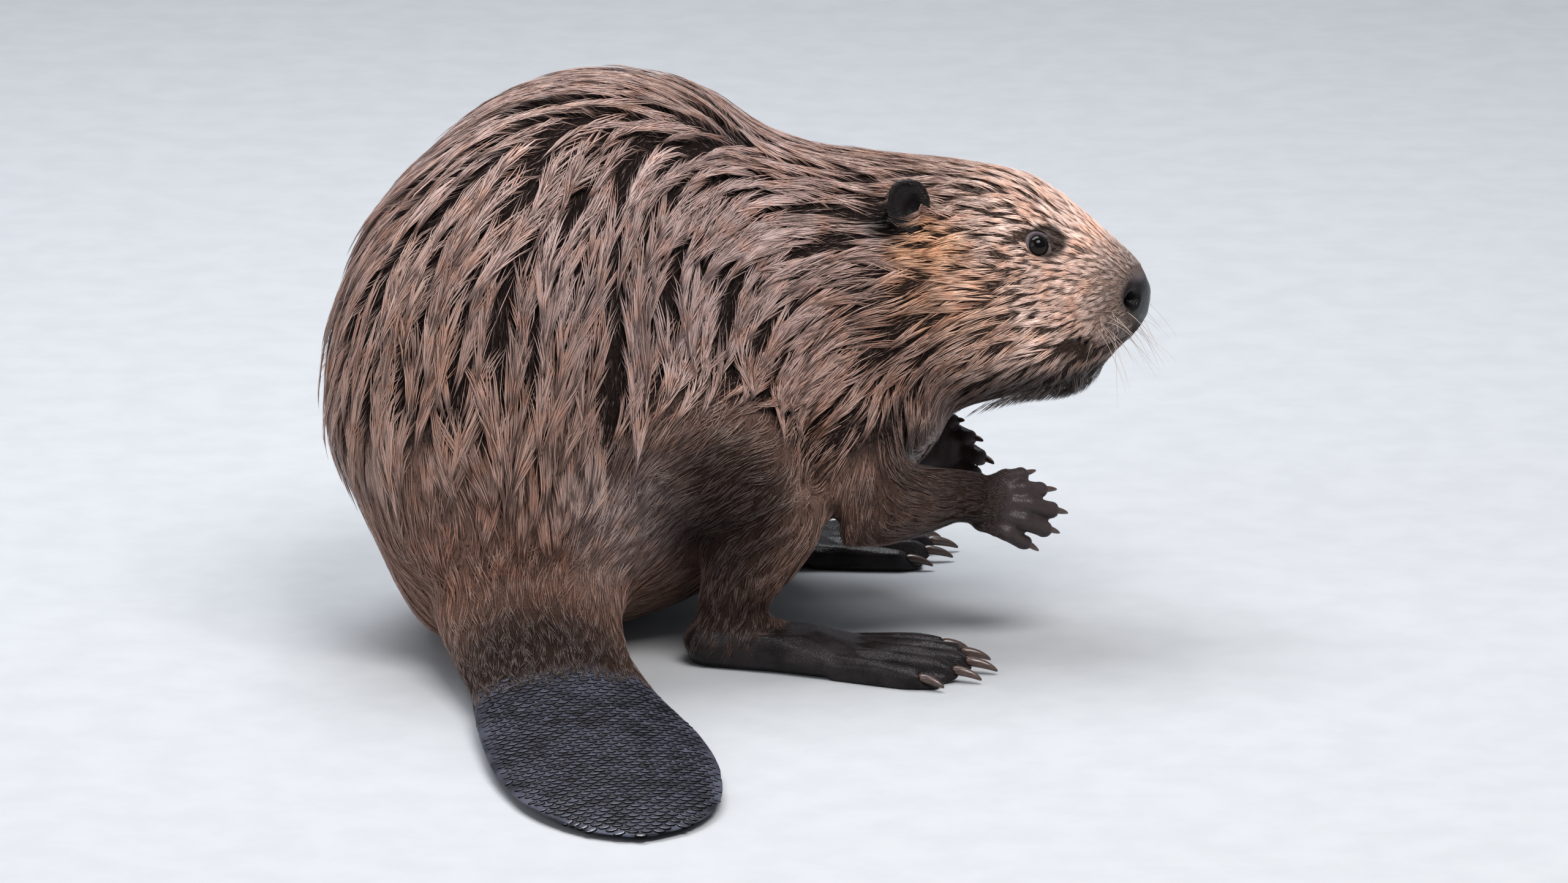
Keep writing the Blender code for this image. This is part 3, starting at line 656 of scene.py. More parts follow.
def claw_material():
    tree = Tree("claw_horn")
    streaks = tree.noise(tree.stretched(tree.place(), (1, 6, 6)), 220, 4)
    colour = tree.mix(tree.ramp(streaks, 0.3, 0.7), tree.colour("claw"), tree.colour("claw_dark"))
    return tree.shade(
        Base_Color=colour, Roughness=tree.ramp(streaks, 0.3, 0.7, 0.25, 0.4),
        Normal=tree.bump(streaks, 0.3, 0.0003), Coat_Weight=0.4, Coat_Roughness=0.15,
    )


def eye_material(centre, sight):
    """A near-black pupil, a dark brown ring round it and a wet surface, drawn about the line of sight."""
    tree = Tree("eye_wet")
    away = tree.add("VectorMath", {0: tree.place(), 1: centre}, operation="SUBTRACT")
    along = tree.add("VectorMath", {0: away, 1: sight}, output="Value", operation="DOT_PRODUCT")
    share = tree.math("DIVIDE", along, EYE_RADIUS * MM)
    streaks = tree.ramp(tree.noise(away, 900, 4), 0.35, 0.65)
    iris = tree.mix(streaks, tree.colour("iris"), tree.colour("iris_dark"))
    colour = tree.mix(tree.ramp(share, 0.86, 0.9), iris, PUPIL)
    colour = tree.mix(tree.ramp(share, 0.62, 0.5), colour, EYE_EDGE)
    return tree.shade(Base_Color=colour, Roughness=0.07, IOR=1.34, Specular_IOR_Level=0.36)


def whisker_material():
    tree = Tree("whisker")
    bands = tree.ramp(tree.noise(tree.place(), 240), 0.35, 0.65)
    colour = tree.mix(bands, tree.colour("whisker"), tree.colour("tip"))
    return tree.shade(Base_Color=colour, Roughness=0.4, Specular_IOR_Level=0.4)


def stage_material():
    tree = Tree("pale_floor")
    speckle = tree.ramp(tree.noise(tree.place(), 30, 3), 0.3, 0.7)
    colour = tree.mix(speckle, FLOOR_PALE, FLOOR_PALEST)
    return tree.shade(Base_Color=colour, Roughness=0.75, Specular_IOR_Level=0.2)


# ---------------------------------------------------------------- the face's forms, in the head's directions
EYE_RADIUS = 7.2
LID_OPENING, LID_EDGE, LID_CREASE, LID_REACH = 4.1, 6.2, 8.4, 13.0
LID_OVER, LID_INSIDE, LID_RELIEF, LID_LENGTHENED = 0.45, 2.6, 0.7, 1.12
LID_RING, LID_RING_SPAN, LID_SPAN = (8.6, 12.0), 16, 17
SOCKET_ROOM, SOCKET_TOP = 1.2, 4.0
EYE_CLEAR = 8.6
NOSE_PAD, NOSE_PAD_RADII = np.array((141.0, 0.0, 198.5)), np.array((24.0, 28.0, 14.5))
NOSTRIL_PLACE, NOSTRIL_RADII = (133.0, 17.0, 197.0), (9.5, 7.2, 6.2)
NOSTRIL_DEPTH = 8.5
EAR_HALF_LENGTH, EAR_HALF_HEIGHT, EAR_DEPTH, EAR_RIM = 16.5, 18.5, 3.2, 1.4
EAR_OUT, EAR_LOWERED, EAR_FRONT_IN = 4.2, 4.5, 7.0
# One half of the line between the lips, from the front of the mouth to its corner.
MOUTH_LINE = ((138, 0, 166), (134, 12, 163), (129, 20, 162), (122, 27, 165), (115, 33, 171), (107, 38, 178))
MOUTH_WIDTH, MOUTH_DEPTH = 3.6, 3.5


def eye_place(side):
    """The centre of an eye, and the way it looks out of the head."""
    return middle_of(f"eye_{SIDE_NAMES[side]}"), head_way(0.42, -side * 0.74, 0.50).normalized()


def ear_outward(side):
    return head_way(0.25, -side, 0.1).normalized()


def line_distance(points, line):
    """How far each point is from a bent line."""
    best = np.full(len(points), 1e9)
    for start, end in zip(line, line[1:]):
        run = end - start
        share = np.clip((points - start) @ run / max(run @ run, 1e-12), 0, 1)
        best = np.minimum(best, np.linalg.norm(points - start - share[:, None] * run, axis=1))
    return best


class Surface:
    """A closed mesh that points can be laid on."""

    def __init__(self, mesh):
        self.points = points_of(mesh)
        mesh.calc_loop_triangles()
        self.faces = array_of(mesh.loop_triangles, "vertices", 3, np.int32)
        self.tree = BVHTree.FromPolygons(self.points.tolist(), self.faces.tolist())
        corners = self.points[self.faces]
        normals = np.cross(corners[:, 1] - corners[:, 0], corners[:, 2] - corners[:, 0])
        self.areas = np.linalg.norm(normals, axis=1) / 2
        self.normals = normals / np.maximum(2 * self.areas[:, None], 1e-12)
        self.centres = corners.mean(axis=1)

    def laid(self, points):
        """Each point moved to the nearest place of the surface, and the surface's normal and face there."""
        found = [self.tree.find_nearest(point) for point in points.tolist()]
        places = np.array([place for place, _, _, _ in found])
        normals = np.array([normal for _, normal, _, _ in found])
        return places, normals, np.array([index for _, _, index, _ in found])


def node_labels(points):
    """For each point, the number in FLESH of the CAD node nearest to it."""
    verts, faces, owner = [], [], []
    for number, name in enumerate(FLESH):
        bm = node_mesh(name)
        bmesh.ops.triangulate(bm, faces=bm.faces)
        first = len(verts)
        bm.verts.index_update()
        verts += [vertex.co.copy() for vertex in bm.verts]
        faces += [[first + vertex.index for vertex in face.verts] for face in bm.faces]
        owner += [number] * len(bm.faces)
        bm.free()
    tree = BVHTree.FromPolygons(verts, faces)
    owner = np.array(owner)
    return owner[[tree.find_nearest(point)[2] for point in points.tolist()]]


def labelled(labels, *prefixes):
    """Which of the labels belong to nodes whose names start so."""
    return np.isin(labels, [number for number, name in enumerate(FLESH) if name.startswith(prefixes)])


def averaged(values, edges, count, steps):
    """Values on vertices, averaged with their neighbours that many times."""
    ends = np.concatenate([edges[:, 0], edges[:, 1]])
    others = np.concatenate([edges[:, 1], edges[:, 0]])
    links = np.bincount(ends, minlength=count)
    for _ in range(steps):
        around = np.bincount(ends, weights=values[others], minlength=count) / np.maximum(links, 1)
        values = 0.5 * values + 0.5 * around
    return values


# ---------------------------------------------------------------- the hands' own forms
# A hand's frame starts at the middle of the palm: x runs towards the fingertips, y towards the thumb, and z
# out of its back.
Hand = namedtuple("Hand", "palm forward thumbward")
HANDS = {
    RIGHT: Hand((149, -58, 81), Vector((0.98, 0.06, -0.17)), Vector((0.14, 0.42, 0.90))),
    LEFT: Hand((113, 48, 91), Vector((0.90, -0.40, -0.18)), Vector((0.16, -0.30, 0.92))),
}
Ball = namedtuple("Ball", "x y z long wide thick")
PALM_BALLS = (
    Ball(-16, 0, 0, 12, 13, 12),
    Ball(-8, 0, 0, 12, 14.5, 11.5),
    Ball(0, 1, 0, 12, 15.5, 10),
    Ball(7, 1, -0.5, 9, 14, 8),
    Ball(12, 0, -0.5, 8, 14, 6),
    Ball(-4, -9, -3, 10, 8, 8),
    Ball(-6, 9, -2, 9, 7, 7.5),
)
# A finger's joints from the palm to the tip, and its thickness at the first.
Finger = namedtuple("Finger", "joints radius")
FINGERS = (
    Finger(((-6, 10, 0), (4, 16, 1.5), (13, 19.6, -1.5)), 5.3),
    Finger(((2, 8, 1), (14, 10.6, 2.6), (25, 12.8, -2.6)), 5.6),
    Finger(((4, 1, 1.5), (19, 2, 3.6), (33, 2, -2.6)), 5.9),
    Finger(((3, -6, 1), (17, -8, 2.8), (30.5, -9.6, -3.4)), 5.8),
    Finger(((-4, -12, -1), (9, -15.8, 0.6), (20.5, -19, -5.6)), 5.4),
)
FINGER_TAPER = (1, 0.97, 0.98 * 0.9)


def hand_axes(side):
    """Towards the fingertips, towards the thumb, and out of the back of the hand."""
    forward = HANDS[side].forward.normalized()
    back = forward.cross(HANDS[side].thumbward).normalized() * -side
    return forward, back.cross(forward).normalized() * -side, back


def add_ball(bm, place, matrix, radii):
    made = bmesh.ops.create_icosphere(bm, subdivisions=3, radius=1)["verts"]
    shape = Matrix.Translation(place) @ matrix @ Matrix.Diagonal((*radii, 1))
    bmesh.ops.transform(bm, matrix=shape, verts=made)


def add_rod(bm, start, end, first, last):
    run = end - start
    sizes = {"radius1": first, "radius2": last, "depth": run.length}
    made = bmesh.ops.create_cone(bm, cap_ends=True, segments=20, **sizes)["verts"]
    turn = run.to_track_quat("Z", "Y").to_matrix().to_4x4()
    bmesh.ops.transform(bm, matrix=Matrix.Translation((start + end) / 2) @ turn, verts=made)


def add_hand(bm, side):
    """The palm and the fingers of one hand, in metres, to be fused with the arm."""
    turn = Matrix(hand_axes(side)).transposed()

    def place(x, y, z):
        return at(*HANDS[side].palm) + turn @ Vector((x, y, z)) * MM

    for ball in PALM_BALLS:
        add_ball(bm, place(*ball[:3]), turn.to_4x4(), [size * MM for size in ball[3:]])
    for finger in FINGERS:
        joints = [place(*joint) for joint in finger.joints]
        sizes = [finger.radius * MM * share for share in FINGER_TAPER]
        for start, end, first, last in zip(joints, joints[1:], sizes, sizes[1:]):
            add_rod(bm, start, end, first * 0.93, last * 0.93)
        for joint, size in zip(joints, sizes):
            add_ball(bm, joint, turn.to_4x4(), (size * 1.08, size, size))


# ---------------------------------------------------------------- the skin
NODE_GROWTH = 0.35 * MM
SKIN_TRIANGLES = 130_000
# Forms that are smoothed and thinned least, and how far round them and how gradually that holds.
FINE_FORMS = ("forepaw_", "hind_foot_", "ear_")
FINE_MARGIN, FINE_ROUNDS = 2 * MM, 6


def inside_boxes(points, names, margin):
    """1 for points within the margin of a named CAD node's box, else 0."""
    found = np.zeros(len(points), bool)
    for name in names:
        low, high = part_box(name)
        found |= ((points > np.array(low) - margin) & (points < np.array(high) + margin)).all(axis=1)
    return found.astype(float)


def flesh_in_one():
    """Every flesh node, grown just enough to close the cuts between them, in one mesh of millimetres."""
    bm = bmesh.new()
    for name in FLESH:
        if name.startswith("forepaw_"):
            continue
        put_into(bm, node_mesh(name, NODE_GROWTH))
    for side in SIDES:
        add_hand(bm, side)
    bmesh.ops.scale(bm, vec=(1 / MM,) * 3, verts=bm.verts)
    return from_bmesh("flesh", bm)


def fused_skin(settings):
    """One closed surface round the flesh, in metres, smoothed, and thinned most where the coat hides it."""
    flesh = flesh_in_one()
    remesh = flesh.modifiers.new("fuse", "REMESH")
    remesh.mode = "VOXEL"
    remesh.voxel_size = settings.voxel / MM
    mesh = evaluated_mesh(flesh)
    points = array_of(mesh.vertices, "co") * MM
    fine_names = [name for name in FLESH if name.startswith(FINE_FORMS)]
    near_fine = inside_boxes(points, fine_names, FINE_MARGIN)
    fine = averaged(near_fine, edges_of(mesh), len(points), FINE_ROUNDS)
    body = as_object("body", mesh)
    plain, coarse = (body.vertex_groups.new(name=name) for name in ("plain", "coarse"))
    for share in np.unique(np.round(fine, 1)):
        chosen = np.flatnonzero(np.round(fine, 1) == share).tolist()
        plain.add(chosen, 1 - share, "REPLACE")
        coarse.add(chosen, 1 - 0.6 * share, "REPLACE")
    for name, rounds in ((plain.name, settings.body_rounds), ("", settings.form_rounds)):
        smooth = body.modifiers.new("smooth", "SMOOTH")
        smooth.factor = 0.5
        smooth.iterations = rounds
        smooth.vertex_group = name
    thin = body.modifiers.new("thin", "DECIMATE")
    thin.ratio = min(1.0, SKIN_TRIANGLES / (2 * len(mesh.polygons)))
    thin.vertex_group = coarse.name
    thin.vertex_group_factor = 0.6
    mesh = evaluated_mesh(body)
    set_points(mesh, array_of(mesh.vertices, "co") * MM)
    return mesh


def combed_sizes(points):
    """The combs' way and sizes for many points, in blocks that fit in memory."""
    blocks = [combed(block) for block in np.array_split(points, max(1, len(points) // 20000))]
    return np.concatenate([way for way, _ in blocks]), np.concatenate([sizes for _, sizes in blocks])


def face_spots():
    """Places of the face that need a finer mesh: centre, reach and rounds of subdivision."""
    spots = []
    for side in SIDES:
        along, rightward, height = NOSTRIL_PLACE
        spots.append((eye_place(side)[0], 14 * MM, 2))
        spots.append((head_at(along, -side * rightward, height), 13 * MM, 1))
        for x, y, z in MOUTH_LINE:
            spots.append((head_at(x, -side * y, z), 7 * MM, 1))
    return spots


def near_spots(bm, spots):
    def near(point):
        return any((point - centre).length < reach for centre, reach in spots)

    return [vertex for vertex in bm.verts if near(vertex.co)]


def refine_face(mesh):
    """Splits the skin's edges near the eyes, nostrils and lips, and rounds what that leaves flat."""
    bm = bmesh.new()
    bm.from_mesh(mesh)
    for level in (1, 2):
        spots = [(centre, reach) for centre, reach, rounds in face_spots() if rounds >= level]
        chosen = {edge for vertex in near_spots(bm, spots) for edge in vertex.link_edges}
        bmesh.ops.subdivide_edges(bm, edges=list(chosen), cuts=1, use_grid_fill=True)
        bmesh.ops.triangulate(bm, faces=[face for face in bm.faces if len(face.verts) > 3])
        near = near_spots(bm, spots)
        for _ in range(2):
            bmesh.ops.smooth_vert(
                bm, verts=near, factor=0.5, use_axis_x=True, use_axis_y=True, use_axis_z=True
            )
    bm.to_mesh(mesh)
    bm.free()


def shape_lids(points, side):
    """Seats the skin round one eye: what lies in the socket goes behind the ball, and a lid stands round it.

    Returns the new points and how much of a lid each of them is."""
    centre, outward = eye_place(side)
    centre, outward = np.array(centre) / MM, np.array(outward)
    away = points / MM - centre
    height = away @ outward
    flat = away - height[:, None] * outward
    back = -np.array(head_way(1, 0, 0))
    back -= (back @ outward) * outward
    back /= np.linalg.norm(back)
    lengthwise = flat @ back
    crosswise = flat @ np.cross(outward, back)
    reach = np.hypot(lengthwise / LID_LENGTHENED, crosswise)
    distance = np.linalg.norm(away, axis=1)
    # The head's own surface round the eye, carried on over the ball as a shallow dome.
    ring = (reach > LID_RING[0]) & (reach < LID_RING[1]) & (height > 0) & (distance < LID_RING_SPAN)
    terms = np.stack([np.ones(ring.sum()), lengthwise[ring], crosswise[ring], reach[ring] ** 2], axis=1)
    fit = np.linalg.lstsq(terms, height[ring], rcond=None)[0]
    level = fit[0] + fit[1] * lengthwise + fit[2] * crosswise + fit[3] * reach**2
    socket = (distance < EYE_RADIUS + SOCKET_ROOM) & (height < SOCKET_TOP)
    rim = (reach < LID_REACH) & (height > 0) & ~socket & (distance < LID_SPAN)
    edge_roll = np.exp(-((reach - LID_EDGE) / 0.95) ** 2)
    lift = LID_RELIEF * edge_roll - LID_RELIEF * np.exp(-((reach - LID_CREASE) / 0.9) ** 2)
    ball = np.sqrt(np.clip(EYE_RADIUS**2 - lengthwise**2 - crosswise**2, 0, None))
    shaped = np.maximum(level + lift, ball + LID_OVER * (ball > 0))
    wall = smooth_step(LID_OPENING - 0.3, LID_OPENING + 0.35, reach)
    shaped = LID_INSIDE + (shaped - LID_INSIDE) * wall
    blend = 1 - smooth_step(9.5, LID_REACH, reach)
    new_height = np.where(rim, height + (shaped - height) * blend, height)
    made = centre + flat + new_height[:, None] * outward
    made[socket] = centre + away[socket] * 0.6
    lid = np.where(rim | socket, 1 - smooth_step(LID_EDGE + 0.6, LID_EDGE + 1.8, reach), 0.0)
    return made * MM, lid


def shape_ear(points, normals, labels, edges, side):
    """Stands one ear clear of the hair, deepens its cup towards its front edge and turns its rim up.

    Returns the new points and how far inside the cup each of them is."""
    name = f"ear_{SIDE_NAMES[side]}"
    local = in_head(points) - in_head(np.array([middle_of(name)]))
    along, tall = local[:, 0] / EAR_HALF_LENGTH, local[:, 2] / EAR_HALF_HEIGHT
    outward = np.array(ear_outward(side))
    on_ear = labelled(labels, name)
    outer = on_ear & (normals @ outward > 0.2)
    backward = -np.array(head_way(1, 0, 0)) * EAR_HALF_LENGTH * MM
    shortened = 0.5 * np.clip(along - 0.3, 0, 1) - 0.3 * np.clip(-0.2 - along, 0, 1)
    points = points + (on_ear * shortened)[:, None] * backward
    share = averaged(on_ear * 1.0, edges, len(points), 6)[:, None] * MM
    inward = EAR_FRONT_IN * smooth_step(0.1, 0.9, along)[:, None]
    lowered = EAR_LOWERED * np.clip(tall, 0, 1)[:, None] * np.array(head_way(0, 0, 1))
    points = points + share * ((EAR_OUT - inward) * outward - lowered)
    reach = np.hypot(along, tall)
    deep = np.hypot((along - 0.12) / 0.5, (tall + 0.08) / 0.62)
    cup = outer * (1 - smooth_step(0.25, 1.0, deep))
    rim = outer * np.exp(-((reach - 0.86) / 0.12) ** 2) * smooth_step(0.5, -0.1, along)
    shift = (EAR_RIM * rim - EAR_DEPTH * cup)[:, None] * MM * outward
    return points + shift, cup


def shape_nostril(points, side):
    """Sinks one nostril. Returns the new points and how far inside it each of them is."""
    along, rightward, height = NOSTRIL_PLACE
    centre = np.array(head_at(along, -side * rightward, height)) / MM
    axes = [head_way(0.80, -side * 0.60, 0.0), head_way(-0.60, -side * 0.80, 0.15), head_way(0, 0, 1)]
    axes = np.array([axis.normalized() for axis in axes])
    reach = np.linalg.norm((points / MM - centre) @ axes.T / np.array(NOSTRIL_RADII), axis=1)
    depth = 1 - smooth_step(0.55, 1.0, reach)
    rim = np.exp(-((reach - 1.25) / 0.3) ** 2)
    moved = points - axes[0] * (depth * NOSTRIL_DEPTH * MM)[:, None] + axes[0] * (rim * 0.5 * MM)[:, None]
    return moved, depth


def mouth_line(surface):
    """The line between the lips from one corner to the other, laid on the skin."""
    rows = [head_at(x, side * y, z) for side in (-1, 1) for x, y, z in MOUTH_LINE[::side]]
    return surface.laid(np.array(rows))[0]


def sink_under_coat(mesh):
    """Moves the skin inwards by the depth of the coat that will cover it."""
    points, edges = points_of(mesh), edges_of(mesh)
    bare = labelled(node_labels(points), *BARE_NODES).astype(float)
    cover = 1 - np.clip(2.2 * averaged(bare, edges, len(points), 10), 0, 1)
    for side in SIDES:
        gap = np.linalg.norm(points - np.array(eye_place(side)[0]), axis=1)
        cover *= smooth_step(9 * MM, 22 * MM, gap)
    depth = averaged(combed_sizes(points)[1][:, 1] * cover, edges, len(points), 12)
    set_points(mesh, points - vertex_normals(mesh) * depth[:, None])


def bare_share(points, labels, edges):
    """How bare of hair each point is: the nose's pad, the ears, the feet, and the hands' insides."""
    bare = averaged(labelled(labels, *BARE_NODES).astype(float), edges, len(points), 2)
    pad = np.linalg.norm((in_head(points) - NOSE_PAD) / NOSE_PAD_RADII, axis=1)
    bare = np.where(labelled(labels, "nose", "head"), 1 - smooth_step(0.92, 1.06, pad), bare)
    for side in SIDES:
        local = (points - np.array(at(*HANDS[side].palm))) @ np.array(hand_axes(side)).T / MM
        haired = smooth_step(6, -4, local[:, 0]) * smooth_step(-4, 2, local[:, 2])
        bare = np.where(labelled(labels, f"forepaw_{SIDE_NAMES[side]}"), 1 - haired, bare)
    return bare


def make_skin(settings):
    mesh = fused_skin(settings)
    sink_under_coat(mesh)
    refine_face(mesh)
    points, edges, normals = points_of(mesh), edges_of(mesh), vertex_normals(mesh)
    labels = node_labels(points)
    bare = bare_share(points, labels, edges)
    scaly = averaged(labelled(labels, "tail") * 1.0, edges, len(points), 3)
    scaly *= 1 - labelled(labels, "tail_root")
    hollow_shade = np.zeros(len(points))
    for side in SIDES:
        points, cup = shape_ear(points, normals, labels, edges, side)
        points, lid = shape_lids(points, side)
        points, nostril = shape_nostril(points, side)
        bare = np.maximum(bare, lid)
        # The ear's cup and the nostril are marked for painted shade.
        hollow_shade = np.maximum(np.maximum(hollow_shade, cup), smooth_step(0.0, 0.25, nostril))
    apart = line_distance(points / MM, mouth_line(Surface(mesh)) / MM)
    groove = 1 - smooth_step(0.3, MOUTH_WIDTH, apart)
    points -= normals * (groove * MOUTH_DEPTH * MM)[:, None]
    bare = np.maximum(bare, 1 - smooth_step(1.8, 3.2, apart))
    # The line between the lips is marked for painted shade too.
    hollow_shade = np.maximum(hollow_shade, 0.9 * (1 - smooth_step(1.0, 3.0, apart)))
    points[:, 2] = np.maximum(points[:, 2], CAD_BOX[0].z)
    set_points(mesh, points)
    wet = combed_sizes(points)[1][:, 3]
    for name, values in (("bare", bare), ("scaly", scaly), ("hollow_shade", hollow_shade), ("wet", wet)):
        set_attribute(mesh, name, np.clip(values, 0, 1))
    mesh.name = "skin"
    return finished("skin", mesh, skin_material(), "bare_skin", *FLESH)


# ---------------------------------------------------------------- the coat
# A piece of coat has its name, its share of the body, its strands, how many go into a lock, how many lengths
# a strand is cut into, its width in millimetres, its length, height and drawing together as shares of the
# comb's, and how far its tips hang down in millimetres.
Coat = namedtuple(
    "Coat", "name where strands per_lock lengths width length_share height_share drawn hang", defaults=(0.0,)
)
PATH_STEPS = 8
BUNDLES = 18
PACKING = 0.68
# Strands that stray from their lock: their share, and how far up and out they stand and how thin they are.
STRAY_SHARE, STRAY_RISE, STRAY_OUT, STRAY_THINNED = 0.12, 0.9, 2.2, 0.45
RIBBON_SHARE, CROWN_SHARE = 0.53, 0.12
WAVE_SHARE = 0.09
STRAND_DEPTH = 0.12
WOOL_SWAY = 0.45
# How much of a strand's tone is its lock's, its bundle's and its own.
LOCK_TONE, BUNDLE_TONE, OWN_TONE = 0.55, 0.25, 0.2
# Places tried for each lock, and how many radii wide the three-sided section of a strand is.
TRIED_PER_LOCK, SECTION_WIDTH = 30, 1.7
ROOT_SUNK = 0.4
# The size of a lock's place in the bake map.
PATCH = 0.003


def strand_shape(lengths):
    """A three-sided cone from root (z 0) to tip (z 1), cut square into that many lengths."""
    bm = bmesh.new()
    bmesh.ops.create_cone(bm, cap_ends=True, segments=3, radius1=1, radius2=0, depth=1)
    bmesh.ops.translate(bm, vec=(0, 0, 0.5), verts=bm.verts)
    bmesh.ops.remove_doubles(bm, verts=bm.verts, dist=1e-5)
    for cut in np.linspace(0, 1, lengths + 1)[1:-1]:
        everything = [*bm.verts, *bm.edges, *bm.faces]
        bmesh.ops.bisect_plane(bm, geom=everything, dist=1e-6, plane_co=(0, 0, cut), plane_no=(0, 0, 1))
    bmesh.ops.recalc_face_normals(bm, faces=bm.faces)
    return bm


def round_the_middle(shape):
    """The direction of each vertex from the middle line of a strand's shape, and 0 on the line."""
    turn = np.hypot(shape[..., 0], shape[..., 1])[..., None]
    return np.where(turn > 1e-6, shape[..., :2] / np.maximum(turn, 1e-6), 0)


def strand_profile(reach, lengths):
    """How thick a strand is along its length, as a share of its width. A stub of one length only narrows."""
    if lengths == 1:
        return 1 - reach
    return np.interp(reach, (0, 0.34, 0.67, 1), (0.08, 0.5, 1.0, 0.0))


class Coverage:
    """The skin's faces that a coat can grow from, with the unwrap that its bake map uses."""

    def __init__(self, skin):
        mesh = skin.data
        self.surface = Surface(mesh)
        faces = self.surface.faces
        bare, scaly, hollow_shade = (
            array_of(mesh.attributes[name].data, "value", 1)[faces].max(axis=1)
            for name in ("bare", "scaly", "hollow_shade")
        )
        self.labels = node_labels(self.surface.centres)
        self.wet = combed_sizes(self.surface.centres)[1][:, 3]
        self.growing = (np.maximum(bare, scaly) < 0.55) | (labelled(self.labels, "ear_") & (hollow_shade < 0.25))
        self.unwrap(mesh)

    def unwrap(self, mesh):
        """Unwraps a light copy of the skin, and keeps its faces and their map."""
        light = as_object("light", mesh.copy())
        thin = light.modifiers.new("thin", "DECIMATE")
        thin.ratio = 0.06
        light = as_object("light_map", evaluated_mesh(light))
        bpy.context.view_layer.objects.active = light
        light.select_set(True)
        bpy.ops.object.mode_set(mode="EDIT")
        bpy.ops.mesh.select_all(action="SELECT")
        bpy.ops.uv.smart_project(angle_limit=math.radians(66), island_margin=0.004)
        bpy.ops.object.mode_set(mode="OBJECT")
        data = light.data
        self.light = Surface(data)
        loops = array_of(data.loop_triangles, "loops", 3, np.int32)
        self.map = array_of(data.uv_layers.active.data, "uv", 2)[loops]
        bpy.data.objects.remove(light)

    def mapped(self, points):
        """Each point's place on the unwrap."""
        places, _, faces = self.light.laid(points)
        corners = self.light.points[self.light.faces[faces]]
        first, second = corners[:, 1] - corners[:, 0], corners[:, 2] - corners[:, 0]
        offset = places - corners[:, 0]
        normal = np.cross(first, second)
        scale = np.maximum((normal * normal).sum(1), 1e-18)
        v = (np.cross(offset, second) * normal).sum(1) / scale
        w = (np.cross(first, offset) * normal).sum(1) / scale
        shares = np.clip(np.stack([1 - v - w, v, w], 1), 0, 1)
        return (shares[:, :, None] * self.map[faces]).sum(1) / shares.sum(1, keepdims=True)

    def scattered(self, rng, faces, count):
        """Random points on some of the faces, evenly by area."""
        areas = self.surface.areas[faces]
        picked = np.searchsorted(np.cumsum(areas) / areas.sum(), rng.random(count))
        chosen = faces[picked.clip(0, len(faces) - 1)]
        a, b = rng.random((2, count))
        flip = a + b > 1
        a[flip], b[flip] = 1 - a[flip], 1 - b[flip]
        first, second, third = np.moveaxis(self.surface.points[self.surface.faces[chosen]], 1, 0)
        return first + a[:, None] * (second - first) + b[:, None] * (third - first)


def spaced(points, gaps):
    """Numbers of the points kept so that none lies within its own gap of one kept before it."""
    cell = float(gaps.max())
    kept, grid = [], {}
    keys = np.floor(points / cell).astype(int)
    steps = [(x, y, z) for x in (-1, 0, 1) for y in (-1, 0, 1) for z in (-1, 0, 1)]
    for number, (key, point, gap) in enumerate(zip(keys.tolist(), points.tolist(), gaps.tolist())):
        x, y, z = point
        clear = True
        for dx, dy, dz in steps:
            for px, py, pz in grid.get((key[0] + dx, key[1] + dy, key[2] + dz), ()):
                if (px - x) ** 2 + (py - y) ** 2 + (pz - z) ** 2 < gap * gap:
                    clear = False
                    break
            if not clear:
                break
        if clear:
            grid.setdefault(tuple(key), []).append((x, y, z))
            kept.append(number)
    return np.array(kept)


def unit(vectors):
    return vectors / np.maximum(np.linalg.norm(vectors, axis=-1, keepdims=True), 1e-12)


def mixed(first, second, share):
    return first * (1 - share) + second * share


def lock_roots(coverage, coat, rng):
    """Roots of the locks, as far apart as their combs say, as many as the coat has."""
    faces = np.flatnonzero(coverage.growing & coat.where(coverage))
    locks = coat.strands // coat.per_lock
    candidates = coverage.scattered(rng, faces, locks * TRIED_PER_LOCK)
    if coat.name != EAR_COAT:
        for ear in (partings(RIGHT)[1], partings(LEFT)[1]):
            candidates = candidates[parting_reach(candidates, ear)[1] > 0.95]
    spread = combed_sizes(candidates)[1][:, 2]
    scale = math.sqrt(PACKING * coverage.surface.areas[faces].sum() * (1 / spread**2).mean() / locks)
    return candidates[spaced(candidates, scale * spread)[:locks]]


def lock_paths(coverage, roots, lengths, rng, sway):
    """The line of each lock over the skin: its places, normals and ways at each step."""
    places, normals, _ = coverage.surface.laid(roots)
    way = unit(combed_sizes(roots)[0])
    side = np.cross(normals, way)
    way = unit(way + side * rng.normal(0, sway)[:, None])
    bend = side * rng.normal(0, 0.1, len(roots))[:, None]
    path, ups, headings = [places], [normals], []
    for _ in range(PATH_STEPS):
        way = unit(0.5 * way + 0.5 * unit(combed_sizes(path[-1])[0]) + bend)
        flat = unit(way - (way * ups[-1]).sum(1, keepdims=True) * ups[-1])
        headings.append(flat)
        places, normals, _ = coverage.surface.laid(path[-1] + flat * (lengths / PATH_STEPS)[:, None])
        path.append(places)
        ups.append(unit(ups[-1] + normals))
    headings.append(headings[-1])
    return np.stack(path, 1), np.stack(ups, 1), np.stack(headings, 1)


# Places that the hair parts round: the middle, the way out of the head, the half width along the head and
# across it, and how far out and in of the middle it reaches.
Parting = namedtuple("Parting", "centre outward sizes above below")


def partings(side):
    eye = Parting(*eye_place(side), (EYE_CLEAR, EYE_CLEAR), 20, 0)
    ear = Parting(head_at(11, -side * 66, 248), ear_outward(side), (10.5, 14.5), 20, 14)
    return eye, ear


